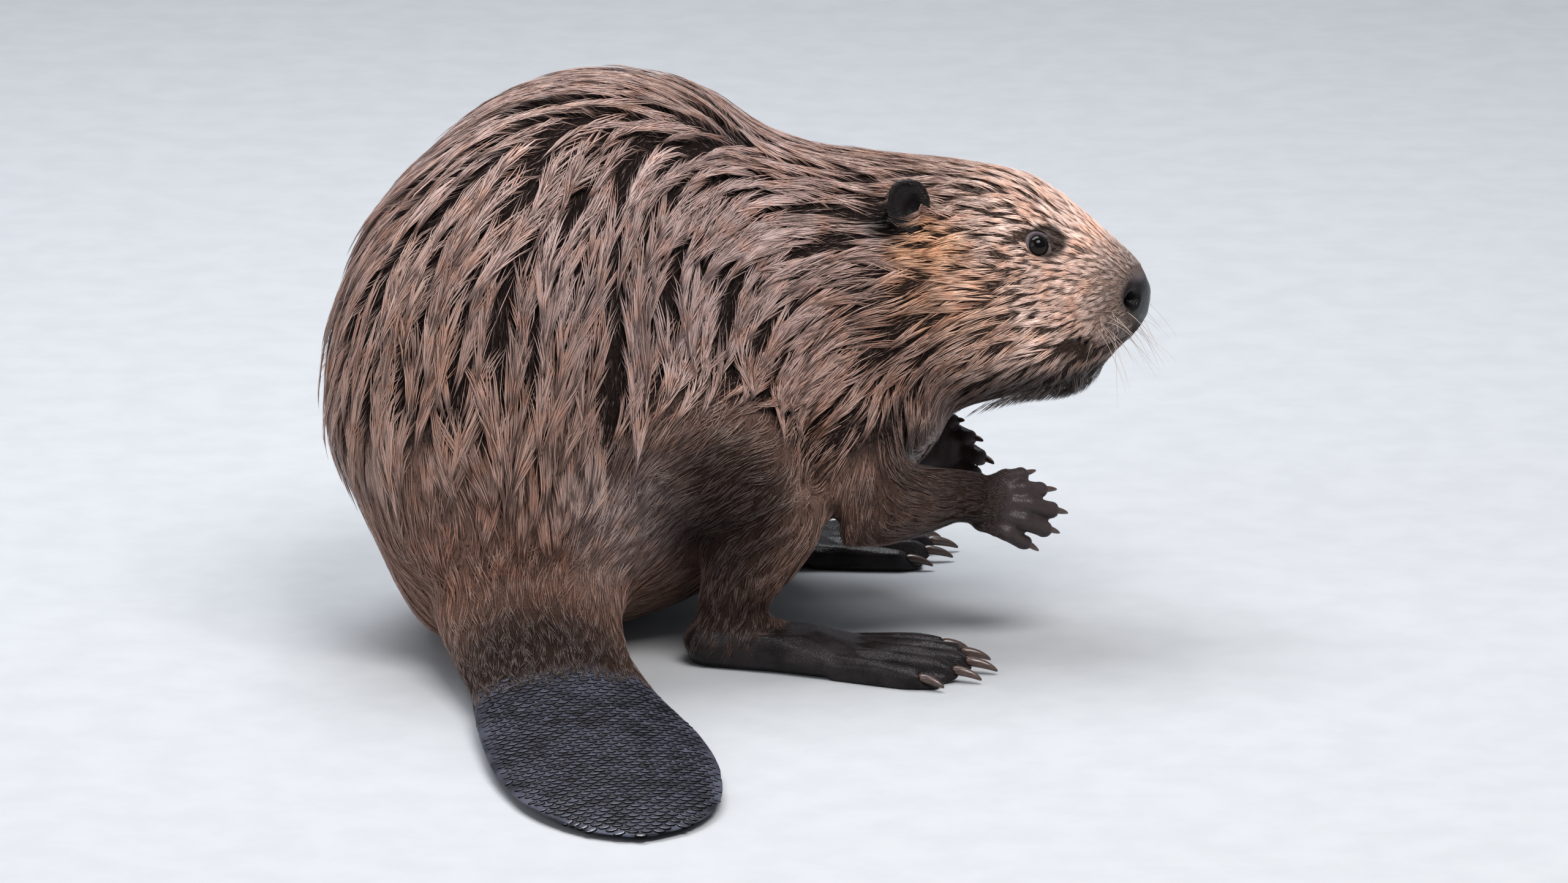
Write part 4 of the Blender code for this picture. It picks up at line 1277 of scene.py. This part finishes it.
def parting_reach(points, parting):
    """The points' places across a parting, how far out they are as a share of it, and the directions used."""
    outward = np.array(parting.outward)
    along = np.array(head_way(1, 0, 0))
    along = unit(along - (along @ outward) * outward)
    axes = np.stack([along, np.cross(outward, along)])
    away = points - np.array(parting.centre)
    height = away @ outward / MM
    flat = away @ axes.T
    reach = np.maximum(np.linalg.norm(flat / (np.array(parting.sizes) * MM), axis=-1), 1e-3)
    reach = np.where((height < parting.above) & (height > -parting.below), reach, 9.0)
    return flat, reach, axes


def parted(points):
    """The strands' points, moved aside where they would lie over an eye or an ear."""
    for side in SIDES:
        for parting in partings(side):
            flat, reach, axes = parting_reach(points, parting)
            clear = 0.82 + 0.18 * np.clip(reach, 0, 1)
            push = np.clip(clear / reach - 1, 0, None)
            points = points + (push[..., None] * flat) @ axes
    return points


def strand_lines(coverage, coat, roots, sizes, rng):
    """Points and normals along each strand, and its lock, side, tone, width share, length and wetness.

    The strands of a wet lock start in bundles to both sides of its path, and run together into one ribbon
    that narrows to a point. Dry strands keep their distance."""
    coat = coat._replace(per_lock=coat.strands // len(roots))
    length, depth, spread, wet = sizes.T
    wet = wet * coat.drawn
    length = length * coat.length_share * rng.uniform(0.85, 1.15, len(roots))
    run = 1.1 + 0.9 * wet
    sway = 0.08 + 0.12 * wet if coat.drawn else np.full(len(roots), WOOL_SWAY)
    path, ups, headings = lock_paths(coverage, roots, length * run, rng, sway)

    # Each bundle has its own place beside the path, start along it and tone.
    count = len(roots) * coat.per_lock
    lock = np.repeat(np.arange(len(roots)), coat.per_lock)
    bundle = rng.integers(0, BUNDLES, count)
    bundle_side = rng.uniform(-1, 1, (len(roots), BUNDLES))
    bundle_side = np.sign(bundle_side) * (0.3 + 1.1 * np.abs(bundle_side))
    bundle_start = rng.uniform(0, 1, (len(roots), BUNDLES))
    bundle_tone = rng.uniform(0, 1, (len(roots), BUNDLES))
    drawn = wet[lock]
    side = mixed(rng.uniform(-1, 1, count), bundle_side[lock, bundle] + rng.normal(0, 0.025, count), drawn)
    start = mixed(rng.uniform(0, 1, count), bundle_start[lock, bundle] + rng.normal(0, 0.012, count), drawn)
    own_side = rng.uniform(-1, 1, count)
    stray = rng.random(count) < STRAY_SHARE
    own_side[stray] *= STRAY_OUT

    # Where each point of a strand is along its lock's path: the step below it, and how far on to the next.
    reach = np.linspace(0, 1, coat.lengths + 1)[None, :]
    share = rng.uniform(0.75, 1.0, count) / run[lock]
    place = start.clip(0, 1)[:, None] * (1 - share)[:, None] + share[:, None] * reach
    index = np.clip(place * PATH_STEPS, 0, PATH_STEPS - 1e-6)
    low = index.astype(int)
    part = (index - low)[..., None]

    def along_path(rows):
        return mixed(rows[lock[:, None], low], rows[lock[:, None], low + 1], part)

    centre, upward, heading = along_path(path), unit(along_path(ups)), unit(along_path(headings))
    sideways = np.cross(upward, heading)
    drawn = drawn[:, None]
    apart = (1 - reach) ** 2.1
    ribbon = np.interp(place, (0, 0.3, 0.6, 0.85, 1), (0.9, 1, 0.62, 0.25, 0.04))
    across = side[:, None] * mixed(1.0, apart, drawn)
    across = across + drawn * own_side[:, None] * RIBBON_SHARE * ribbon * (1 - apart)
    ahead = (1 - drawn) * rng.uniform(-1, 1, count)[:, None]
    layer = (rng.uniform(0.6, 1.05, len(roots))[lock] * rng.uniform(0.94, 1.0, count))[:, None]
    rise = np.interp(reach, (0, 0.2, 1), (0.0, 1.0, 1.0))
    rise = rise * np.interp(place, (0, 0.5, 0.9, 1), (0.4, 0.75, 1.0, 0.95))
    crown = drawn * CROWN_SHARE * np.clip(1 - own_side[:, None] ** 2, 0, 1) * (1 - apart) * ribbon
    height = (rise * layer + crown) * (depth * coat.height_share)[lock][:, None]
    loose = (0.35 + 0.65 * smooth_step(0.15, 0.5, wet))[lock][:, None]
    height = height + stray[:, None] * loose * STRAY_RISE * MM * reach
    phase = rng.uniform(0, 2 * np.pi, len(roots))[lock][:, None]
    across = across + WAVE_SHARE * np.sin(2.2 * np.pi * reach + phase) * reach
    offset = spread[lock][:, None, None] * (sideways * across[..., None] + heading * ahead[..., None])
    points = centre + offset + upward * height[..., None]
    skin_places, skin_ups, _ = coverage.surface.laid(points[:, 0])
    points[:, 0] = skin_places - skin_ups * ROOT_SUNK * MM
    points[:, :, 2] -= coat.hang * MM * reach**1.5
    if coat.name != EAR_COAT:
        points = parted(points)

    lock_tone = rng.uniform(0, 1, len(roots))[lock]
    own_tone = rng.uniform(0, 1, count)
    tone = LOCK_TONE * lock_tone + BUNDLE_TONE * bundle_tone[lock, bundle] + OWN_TONE * own_tone
    tone[stray] = rng.uniform(0.75, 1.0, stray.sum())
    tone = 0.5 + (tone - 0.5) * loose[:, 0]
    width = (length / length.mean()).clip(0.5, 1.3)[lock] * rng.uniform(0.7, 1.3, count)
    width[stray] *= STRAY_THINNED
    return points, upward, lock, side, tone, width, length[lock], wet[lock]


def set_bake_map(mesh, spots, sides, reach, cross):
    """Gives each strand a small patch of the bake map at its lock's root, beside the lock's other strands."""
    lateral = np.clip(0.5 + 0.5 * sides, 0, 1)
    patch = np.stack([
        spots[:, :1] + PATCH * (lateral[:, None] + 0.06 * cross[..., 0] - 0.5),
        spots[:, 1:] + PATCH * (reach + 0.03 * cross[..., 1] - 0.5),
    ], axis=-1).reshape(-1, 2)
    bake_map = mesh.uv_layers.new(name="OFBake")
    loop_vertices = array_of(mesh.loops, "vertex_index", 1, np.int32)
    bake_map.data.foreach_set("uv", patch[loop_vertices].astype(np.float32).ravel())


def comb_coat(coverage, coat, material, seed):
    """One piece of the coat: locks spread over its part of the skin, of strands drawn together to a tip."""
    rng = np.random.default_rng(seed)
    roots = lock_roots(coverage, coat, rng)
    sizes = combed_sizes(roots)[1]
    points, upward, lock, side, tone, width, length, wet = strand_lines(coverage, coat, roots, sizes, rng)
    count = len(points)
    tangent = unit(np.gradient(points, axis=1))
    width_way = unit(np.cross(upward, tangent))
    depth_way = np.cross(tangent, width_way)

    mesh = repeated(coat.name, strand_shape(coat.lengths), count)
    shape = points_of(mesh).reshape(count, -1, 3)
    corners = shape.shape[1]
    reach = shape[..., 2].clip(0, 1)
    ring = np.rint(reach * coat.lengths).astype(int)
    strand = np.arange(count)[:, None]
    cross = round_the_middle(shape)
    thick = coat.width * MM * width[:, None] * strand_profile(reach, coat.lengths)
    made = points[strand, ring]
    made = made + width_way[strand, ring] * (cross[..., 0] * thick / SECTION_WIDTH)[..., None]
    made = made + depth_way[strand, ring] * (cross[..., 1] * thick * STRAND_DEPTH)[..., None]
    made[..., 2] = np.maximum(made[..., 2], CAD_BOX[0].z + 0.2 * MM)
    set_points(mesh, made.reshape(-1, 3))

    fibre = np.stack([
        cross[..., 0] * thick / MM + rng.uniform(0, 500, count)[:, None],
        reach * length[:, None] / MM,
        np.zeros_like(reach),
    ], axis=-1)
    set_attribute(mesh, "reach", reach.ravel())
    set_attribute(mesh, "tone", np.repeat(tone.clip(0, 1), corners))
    set_attribute(mesh, "wet", np.repeat(wet, corners))
    set_attribute(mesh, "fibre", fibre.reshape(-1, 3))
    set_bake_map(mesh, coverage.mapped(roots)[lock], side, reach, cross)
    return finished(coat.name, mesh, material, "fur")


def with_labels(*prefixes):
    return lambda cover: labelled(cover.labels, *prefixes)


def wet_trunk(part):
    """The trunk's long wet coat, from its back or from one flank."""

    def where(cover):
        trunk = labelled(cover.labels, "trunk") & (cover.wet >= WET_FROM)
        upper = cover.surface.normals[:, 2] > BACK_FACES_UP
        if part == "back":
            return trunk & upper
        side = RIGHT if part == "right" else LEFT
        return trunk & ~upper & ((cover.surface.centres[:, 1] - DATUM.y - MID_PLANE * MM) * side > 0)

    return where


def sleek_rump(cover):
    """The trunk where its coat isn't wet into locks, and the furry root of the tail."""
    trunk = labelled(cover.labels, "trunk") & (cover.wet < WET_FROM)
    return trunk | labelled(cover.labels, "tail_root")


def half_head(side):
    def where(cover):
        away = (cover.surface.centres - np.array(head_at(0, 0, 195))) @ np.array(head_way(0, -side, 0))
        return labelled(cover.labels, "head", "nose") & (away > 0)

    return where


def chin(cover):
    """Under the lower lip, where wet tufts hang."""
    away = (cover.surface.centres - np.array(head_at(104, 0, 148))) @ np.array(HEAD_TURN) / MM
    return np.linalg.norm(away / (24, 32, 14), axis=1) < 1


WET_FROM, BACK_FACES_UP = 0.42, 0.62
EAR_COAT = "coat_ears"
COATS = (
    Coat("coat_flank_right", wet_trunk("right"), 10400, 42, 3, 0.9, 1.0, 1.0, 1.0),
    Coat("coat_flank_left", wet_trunk("left"), 9400, 42, 3, 0.9, 1.0, 1.0, 1.0),
    Coat("coat_back", wet_trunk("back"), 11400, 42, 3, 0.9, 1.0, 1.0, 1.0),
    Coat("coat_neck", with_labels("neck"), 9600, 36, 3, 0.9, 1.0, 1.0, 0.95),
    Coat("coat_head_right", half_head(RIGHT), 19200, 20, 2, 0.74, 1.0, 1.0, 0.85),
    Coat("coat_head_left", half_head(LEFT), 19200, 20, 2, 0.74, 1.0, 1.0, 0.85),
    Coat("coat_legs", with_labels("foreleg_", "hind_leg_"), 17000, 8, 2, 0.6, 1.6, 0.45, 0.7),
    Coat("coat_hands", with_labels("forepaw_"), 3600, 6, 2, 0.4, 1.0, 0.4, 0.6),
    Coat("coat_rump", sleek_rump, 16500, 8, 2, 0.62, 1.7, 0.5, 0.7),
    Coat(EAR_COAT, with_labels("ear_"), 1800, 3, 1, 0.28, 0.14, 0.2, 0.3),
    Coat("coat_chin", chin, 900, 18, 3, 0.8, 1.3, 1.0, 1.0, 7.0),
)
UNDERFUR = Coat("underfur", lambda cover: cover.wet >= WET_FROM, 30000, 3, 1, 0.8, 0.34, 0.5, 0.0)


def make_coat(settings):
    coverage = Coverage(bpy.data.objects["skin"])
    hair = coat_material("wet_hair")
    materials = {"underfur": underfur_material(), EAR_COAT: coat_material("black_hair", "ear")}
    for number, coat in enumerate((*COATS, UNDERFUR)):
        strands, width = int(coat.strands * settings.fullness), coat.width * settings.thickness
        wanted = coat._replace(strands=strands, width=width)
        comb_coat(coverage, wanted, materials.get(coat.name, hair), settings.seed + number)


# ---------------------------------------------------------------- eyes, claws, scales and whiskers
CORNEA_RISE, CORNEA_SHARE = 0.45, 0.72
CLAW_GROWTH = 0.2 * MM


def make_eye(side):
    """A ball with a slightly proud cornea, turned to look out of its socket."""
    centre, outward = eye_place(side)
    bm = bmesh.new()
    bmesh.ops.create_uvsphere(bm, u_segments=48, v_segments=32, radius=EYE_RADIUS * MM)
    for vertex in bm.verts:
        share = vertex.co.z / (EYE_RADIUS * MM)
        if share > CORNEA_SHARE:
            vertex.co.z += CORNEA_RISE * MM * ((share - CORNEA_SHARE) / (1 - CORNEA_SHARE)) ** 0.8
    turn = outward.to_track_quat("Z", "Y").to_matrix().to_4x4()
    bmesh.ops.transform(bm, matrix=Matrix.Translation(centre) @ turn, verts=bm.verts)
    name = f"eyeball_{SIDE_NAMES[side]}"
    piece = from_bmesh(name, bm, eye_material(tuple(centre), tuple(outward)))
    return declared(piece, "eye", f"eye_{SIDE_NAMES[side]}")


def make_claws(limb, side, material):
    """The claws of one hand or foot, rounded and in one piece."""
    prefix = f"claw_{limb}_{SIDE_NAMES[side]}_"
    names = [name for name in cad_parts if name.startswith(prefix)]
    bm = bmesh.new()
    for name in names:
        put_into(bm, node_mesh(name, CLAW_GROWTH))
    bmesh.ops.dissolve_limit(bm, angle_limit=math.radians(2), verts=bm.verts, edges=bm.edges)
    piece = from_bmesh(f"claws_{limb}_{SIDE_NAMES[side]}", bm, material)
    rounding = piece.modifiers.new("rounding", "SUBSURF")
    rounding.levels = rounding.render_levels = 2
    return declared(piece, "claw", *names)


# The tail's middle line across the floor, with its half width.
TAIL_LINE = (
    (-112, -212, 50), (-99, -230, 53), (-91, -268, 59), (-82, -308, 64), (-74, -350, 66), (-67, -390, 64),
    (-60, -428, 57), (-55, -458, 43), (-52, -477, 26), (-50, -487, 9),
)
SCALE_WIDTH, SCALE_LENGTH, SCALE_RISE = 7.0, 4.5, 0.8
ROW_STEP, COLUMN_STEP, TAIL_MARGIN = 4.5, 7.2, 5.0
SCALE_TILT, SCALE_SINK = 0.65, 0.35
# Scales are cast down on to the skin from this high, and left off where it is steeper than this.
CAST_HEIGHT, LEAST_FACING_UP = 0.2, 0.86
ScalePlace = namedtuple("ScalePlace", "x y run edge along")


def scale_shape():
    """A low eight-sided plate with a rounded edge, one long and one wide, standing on z 0."""
    bm = bmesh.new()
    bmesh.ops.create_cone(bm, cap_ends=True, segments=8, radius1=0.54, radius2=0.5, depth=0.6)
    bmesh.ops.translate(bm, vec=(0, 0, 0.3), verts=bm.verts)
    top = max(bm.faces, key=lambda face: face.calc_center_median().z)
    bmesh.ops.inset_region(bm, faces=[top], thickness=0.13, depth=0.25)
    bmesh.ops.poke(bm, faces=[top], offset=0.12)
    return bm


def scale_places(rng):
    """Rows of places across the tail, every other row moved by half a step."""
    line = np.array(TAIL_LINE, float)
    steps = np.concatenate([[0], np.cumsum(np.linalg.norm(np.diff(line[:, :2], axis=0), axis=1))])
    places = []
    for number, run in enumerate(np.arange(0, steps[-1] - 1.5, ROW_STEP)):
        x, y, half = (np.interp(run, steps, line[:, column]) for column in range(3))
        ahead = [np.interp(run + 1, steps, line[:, column]) for column in range(2)]
        along = np.array([ahead[0] - x, ahead[1] - y, 0])
        along /= np.linalg.norm(along)
        across = np.array([along[1], -along[0], 0])
        count = int(half // COLUMN_STEP) + 1
        for column in range(-count, count + 1):
            offset = (column + 0.5 * (number % 2)) * COLUMN_STEP + rng.normal(0, 0.25)
            if abs(offset) < half - TAIL_MARGIN:
                spot = (x + across[0] * offset, y + across[1] * offset)
                places.append(ScalePlace(*spot, run, abs(offset) / half, along))
    return places


def make_scales(settings):
    """Rows of overlapping scales over the top and edges of the tail."""
    rng = np.random.default_rng(settings.seed)
    surface = Surface(bpy.data.objects["skin"].data)
    places = scale_places(rng)
    hits = [surface.tree.ray_cast(at(place.x, place.y, 0) + UP * CAST_HEIGHT, -UP) for place in places]
    found = [(hit, place) for hit, place in zip(hits, places) if hit[0] is not None]
    flat = [(hit, place) for hit, place in found if hit[1].z > LEAST_FACING_UP]
    labels = node_labels(np.array([hit[0] for hit, _ in flat]))
    on_tail = labelled(labels, "tail") & ~labelled(labels, "tail_root")
    chosen = [pair for pair, kept in zip(flat, on_tail) if kept]
    count = len(chosen)
    mesh = repeated("tail_scales", scale_shape(), count)
    shape = points_of(mesh).reshape(count, -1, 3)
    made = np.empty_like(shape)
    tones = rng.uniform(0, 1, count)
    for number, ((spot, normal, _, _), place) in enumerate(chosen):
        normal = unit(np.array(normal))
        lengthwise = unit(place.along - (place.along @ normal) * normal)
        crosswise = np.cross(lengthwise, normal)
        shrunk = 1 - 0.4 * smooth_step(0.75, 0.95, place.edge)
        size = (0.62 + 0.38 * smooth_step(0, 45, place.run)) * shrunk * rng.uniform(0.93, 1.07)
        local = shape[number] * np.array([SCALE_WIDTH * size, SCALE_LENGTH * size * 1.25, SCALE_RISE])
        tilt = SCALE_TILT * local[:, 1] / SCALE_LENGTH * (shape[number][:, 2] > 0.1)
        lifted = (local[:, 2] - SCALE_SINK + tilt)[:, None]
        away = local[:, :1] * crosswise + local[:, 1:2] * lengthwise + lifted * normal
        made[number] = np.array(spot) + MM * away
    set_points(mesh, made.reshape(-1, 3))
    set_attribute(mesh, "tone", np.repeat(tones, shape.shape[1]))
    # Each scale's rim, painted near black as the shade in the gaps between scales.
    set_attribute(mesh, "rim", smooth_step(0.37, 0.5, np.hypot(shape[..., 0], shape[..., 1])).ravel())
    return finished("tail_scales", mesh, scale_material(), "tail_scale")


WHISKERS_PER_SIDE, WHISKER_LENGTHS, WHISKER_RADIUS, WHISKER_SUNK = 20, 8, 0.17, 0.8
WHISKER_OVERHANG = 16


def make_whiskers(settings):
    """Stiff pale hairs from the upper lips, sweeping forwards, out and down."""
    rng = np.random.default_rng(settings.seed + 50)
    surface = Surface(bpy.data.objects["skin"].data)
    rows = []
    for side in (1, -1):
        for _ in range(WHISKERS_PER_SIDE):
            start = head_at(rng.uniform(117, 134), side * rng.uniform(17, 32), rng.uniform(170, 192))
            way = head_way(rng.uniform(0.1, 0.9), side * rng.uniform(0.4, 1.0), rng.uniform(-0.75, 0.05))
            length = rng.uniform(18, 42) * MM
            rows.append((np.array(start), unit(np.array(way)), length, rng.uniform(0.1, 0.35)))
    starts, _, _ = surface.laid(np.array([start for start, _, _, _ in rows]))
    count = len(rows)
    mesh = repeated("whiskers", strand_shape(WHISKER_LENGTHS), count)
    shape = points_of(mesh).reshape(count, -1, 3)
    rings = round_the_middle(shape)
    made = np.empty_like(shape)
    for number, (start, (_, way, length, sag)) in enumerate(zip(starts, rows)):
        reach = shape[number][:, 2:]
        middle = start + length * (reach * way + reach**2 * sag * np.array([0, 0, -1]))
        middle -= way * WHISKER_SUNK * MM * (reach < 0.01)
        crosswise = unit(np.cross(way, (0, 0, 1)))
        upward = np.cross(crosswise, way)
        radius = WHISKER_RADIUS * MM * (1 - 0.75 * reach)
        made[number] = middle + radius * (rings[number][:, :1] * crosswise + rings[number][:, 1:] * upward)
    limit = np.array(CAD_BOX[1]) + WHISKER_OVERHANG * MM
    set_points(mesh, np.minimum(made.reshape(-1, 3), limit))
    return finished("whiskers", mesh, whisker_material(), "fur")


# ---------------------------------------------------------------- the studio
SENSOR_WIDTH = 36


def add_light(name, place, towards, size, power, colour):
    light = bpy.data.lights.new(name, "AREA")
    light.shape = "RECTANGLE"
    light.size, light.size_y = size
    light.energy = power
    light.color = colour
    lamp = bpy.data.objects.new(name, light)
    bpy.context.scene.collection.objects.link(lamp)
    lamp.location = place
    lamp.rotation_euler = (towards - place).to_track_quat("-Z", "Y").to_euler()


def make_stage(settings):
    bm = bmesh.new()
    bmesh.ops.create_grid(bm, x_segments=8, y_segments=8, size=6)
    from_bmesh("floor", bm, stage_material(), smooth=False)
    world = bpy.data.worlds.new("studio")
    world.use_nodes = True
    back = world.node_tree.nodes["Background"]
    back.inputs["Color"].default_value = (0.80, 0.86, 0.95, 1)
    back.inputs["Strength"].default_value = settings.fill
    bpy.context.scene.world = world

    middle = at(0, 0, 150)
    lights = (
        ("key", (0.6, -1.3, 2.2), (1.6, 1.2), settings.key, (1.0, 0.98, 0.96)),
        ("rim", (-0.5, 0.9, 2.3), (2.2, 1.4), settings.rim, (0.93, 0.96, 1.0)),
        ("side", (-1.8, -1.4, 0.9), (1.4, 1.4), settings.side, (0.95, 0.97, 1.0)),
    )
    for name, offset, size, power, colour in lights:
        add_light(name, middle + Vector(offset), middle, size, power, colour)

    rise = math.radians(settings.elevation)
    upward = Vector((0, math.sin(rise), math.cos(rise)))
    forward = Vector((0, math.cos(rise), -math.sin(rise)))
    aim = DATUM + Vector((settings.aim_along, 0, 0)) + upward * settings.aim_up
    data = bpy.data.cameras.new("camera")
    data.sensor_width = SENSOR_WIDTH
    data.lens = SENSOR_WIDTH * settings.distance / settings.view_width
    camera = bpy.data.objects.new("camera", data)
    bpy.context.scene.collection.objects.link(camera)
    camera.location = aim - forward * settings.distance
    camera.rotation_euler = (math.pi / 2 - rise, 0, 0)
    bpy.context.scene.camera = camera
    bpy.context.scene.view_settings.view_transform = "Standard"


# ---------------------------------------------------------------- settings
def colour_setting(name, description, default):
    return FloatVectorProperty(
        name=name, description=description, default=default, subtype="COLOR", min=0, max=1, size=3
    )


class BeaverSkin(bpy.types.PropertyGroup):
    voxel: FloatProperty(
        name="Voxel", description="Grain of the mesh that fuses the flesh", default=0.0011, unit="LENGTH"
    )
    body_rounds: IntProperty(
        name="Body rounds", description="Smoothing of trunk, neck and legs", default=60
    )
    form_rounds: IntProperty(
        name="Form rounds", description="Smoothing of hands, feet, ears and nose", default=5
    )


class BeaverCoat(bpy.types.PropertyGroup):
    fullness: FloatProperty(
        name="Fullness", description="Share of the full number of strands", default=1.0, min=0.05
    )
    thickness: FloatProperty(
        name="Thickness", description="Share of a strand's usual width", default=1.0, min=0.2
    )
    seed: IntProperty(name="Seed", description="Start of the coat's random numbers", default=11)


class BeaverColours(bpy.types.PropertyGroup):
    base: colour_setting("Base", "Coat between the other patches", (0.335, 0.198, 0.152))
    flank: colour_setting("Flank", "Sun-bleached locks of back and flanks", (0.345, 0.238, 0.220))
    rump: colour_setting("Rump", "Sleek coat of the lower rump", (0.395, 0.214, 0.158))
    # Painted sheen: the colour of the pale patch over the hips.
    pale: colour_setting("Pale", "Pale patch over the hip", (0.500, 0.380, 0.350))
    head: colour_setting("Head", "Coat of the head", (0.960, 0.660, 0.535))
    brow: colour_setting("Brow", "Dark brown hair round the eyes", (0.060, 0.032, 0.020))
    ear: colour_setting("Ear", "Short black hair of the ears", (0.012, 0.009, 0.009))
    ginger: colour_setting("Ginger", "Ginger hair below the ears", (0.700, 0.375, 0.215))
    muzzle: colour_setting("Muzzle", "Grey-brown muzzle", (0.205, 0.158, 0.142))
    dark: colour_setting("Dark", "Dark hair of haunch, belly, arms and chin", (0.036, 0.020, 0.015))
    warm: colour_setting("Warm", "Tint of the browner locks", (1.000, 0.740, 0.560))
    tip: colour_setting("Tip", "Palest bands of the whiskers", (0.720, 0.520, 0.430))
    # Partly the wet wool's own colour and partly painted shade in the gaps between the locks.
    underfur: colour_setting("Underfur", "Dark wet wool under the locks", (0.006, 0.004, 0.004))
    lid: colour_setting("Lids", "Bare grey-lilac rims of the eyes", (0.105, 0.083, 0.092))
    # Partly the wool's own colour and partly painted shade in the gaps between the head's locks.
    head_wool: colour_setting("Head wool", "Dark wool between the head's locks", (0.040, 0.023, 0.017))
    leather: colour_setting("Leather", "Bare black skin", (0.010, 0.008, 0.008))
    leather_worn: colour_setting("Worn leather", "Bare skin where it is greyer", (0.030, 0.024, 0.025))
    hand_skin: colour_setting("Hand skin", "Bare purple-brown skin of the hands", (0.062, 0.043, 0.042))
    # The two ends of the scales' random tones; the lightest one's blue cast is partly a painted sheen.
    scale_dark: colour_setting("Dark scale", "Darkest tail scales", (0.016, 0.016, 0.021))
    scale_lit: colour_setting("Light scale", "Lightest tail scales", (0.075, 0.078, 0.105))
    claw: colour_setting("Claw", "Horn of the claws", (0.110, 0.056, 0.040))
    claw_dark: colour_setting("Dark claw", "Dark streaks in the claws", (0.030, 0.020, 0.017))
    iris: colour_setting("Iris", "Brown ring of the eye", (0.016, 0.009, 0.006))
    iris_dark: colour_setting("Dark iris", "Darker streaks of the eye", (0.006, 0.004, 0.003))
    whisker: colour_setting("Whisker", "Pale whiskers", (0.520, 0.450, 0.380))


class BeaverStage(bpy.types.PropertyGroup):
    elevation: FloatProperty(name="Elevation", description="Camera height in degrees", default=14.0)
    distance: FloatProperty(
        name="Distance", description="Camera to subject", default=6.0, unit="LENGTH"
    )
    view_width: FloatProperty(
        name="View width", description="Width seen at the subject", default=0.9216, unit="LENGTH"
    )
    aim_along: FloatProperty(
        name="Aim along", description="Aim ahead of the datum", default=0.02664, unit="LENGTH"
    )
    aim_up: FloatProperty(
        name="Aim up", description="Aim above the datum in the view", default=0.1008, unit="LENGTH"
    )
    key: FloatProperty(name="Key", description="Overhead light", default=64.0, unit="POWER")
    rim: FloatProperty(name="Rim", description="Light from behind", default=80.0, unit="POWER")
    side: FloatProperty(name="Side", description="Soft light from the rear side", default=12.0, unit="POWER")
    fill: FloatProperty(name="Fill", description="Brightness of the room", default=0.34)


# ---------------------------------------------------------------- operators
class BEAVER_OT_stage(bpy.types.Operator):
    """Make the floor, lights and camera"""

    bl_idname = "beaver.stage"
    bl_label = "Stage"

    def execute(self, context):
        make_stage(context.scene.beaver_stage)
        return {"FINISHED"}


class BEAVER_OT_skin(bpy.types.Operator):
    """Make the one skin over the whole body, with lids, nostrils and lips"""

    bl_idname = "beaver.skin"
    bl_label = "Skin"

    def execute(self, context):
        make_skin(context.scene.beaver_skin)
        return {"FINISHED"}


class BEAVER_OT_eyes(bpy.types.Operator):
    """Make both eyes"""

    bl_idname = "beaver.eyes"
    bl_label = "Eyes"

    def execute(self, context):
        for side in SIDES:
            make_eye(side)
        return {"FINISHED"}


class BEAVER_OT_claws(bpy.types.Operator):
    """Make the claws of both hands and both feet"""

    bl_idname = "beaver.claws"
    bl_label = "Claws"

    def execute(self, context):
        material = claw_material()
        for limb in ("hand", "foot"):
            for side in SIDES:
                make_claws(limb, side, material)
        return {"FINISHED"}


class BEAVER_OT_scales(bpy.types.Operator):
    """Make the scales of the tail"""

    bl_idname = "beaver.scales"
    bl_label = "Tail scales"

    def execute(self, context):
        make_scales(context.scene.beaver_coat)
        return {"FINISHED"}


class BEAVER_OT_coat(bpy.types.Operator):
    """Comb the coat over the skin, lock by lock"""

    bl_idname = "beaver.coat"
    bl_label = "Coat"

    def execute(self, context):
        make_coat(context.scene.beaver_coat)
        return {"FINISHED"}


class BEAVER_OT_whiskers(bpy.types.Operator):
    """Make the whiskers"""

    bl_idname = "beaver.whiskers"
    bl_label = "Whiskers"

    def execute(self, context):
        make_whiskers(context.scene.beaver_coat)
        return {"FINISHED"}


class BEAVER_PT_panel(bpy.types.Panel):
    """The beaver's pieces and settings"""

    bl_label = "Beaver"
    bl_idname = "BEAVER_PT_panel"
    bl_space_type = "VIEW_3D"
    bl_region_type = "UI"
    bl_category = "Beaver"

    def draw(self, context):
        for operator in OPERATORS:
            self.layout.operator(operator.bl_idname)
        for group in SETTINGS:
            settings = getattr(context.scene, group)
            for name in settings.__annotations__:
                self.layout.prop(settings, name)


SETTINGS = {
    "beaver_skin": BeaverSkin,
    "beaver_coat": BeaverCoat,
    "beaver_colours": BeaverColours,
    "beaver_stage": BeaverStage,
}
OPERATORS = (
    BEAVER_OT_stage,
    BEAVER_OT_skin,
    BEAVER_OT_eyes,
    BEAVER_OT_claws,
    BEAVER_OT_scales,
    BEAVER_OT_coat,
    BEAVER_OT_whiskers,
)
CLASSES = (*SETTINGS.values(), *OPERATORS, BEAVER_PT_panel)


def register():
    for cls in CLASSES:
        bpy.utils.register_class(cls)
    for name, group in SETTINGS.items():
        setattr(bpy.types.Scene, name, PointerProperty(type=group))


def unregister():
    for name in SETTINGS:
        delattr(bpy.types.Scene, name)
    for cls in reversed(CLASSES):
        bpy.utils.unregister_class(cls)


def main():
    register()
    bpy.ops.beaver.stage()
    bpy.ops.beaver.skin()
    bpy.ops.beaver.eyes()
    bpy.ops.beaver.claws()
    bpy.ops.beaver.scales()
    bpy.ops.beaver.coat()
    bpy.ops.beaver.whiskers()


if __name__ == "__main__":
    main()
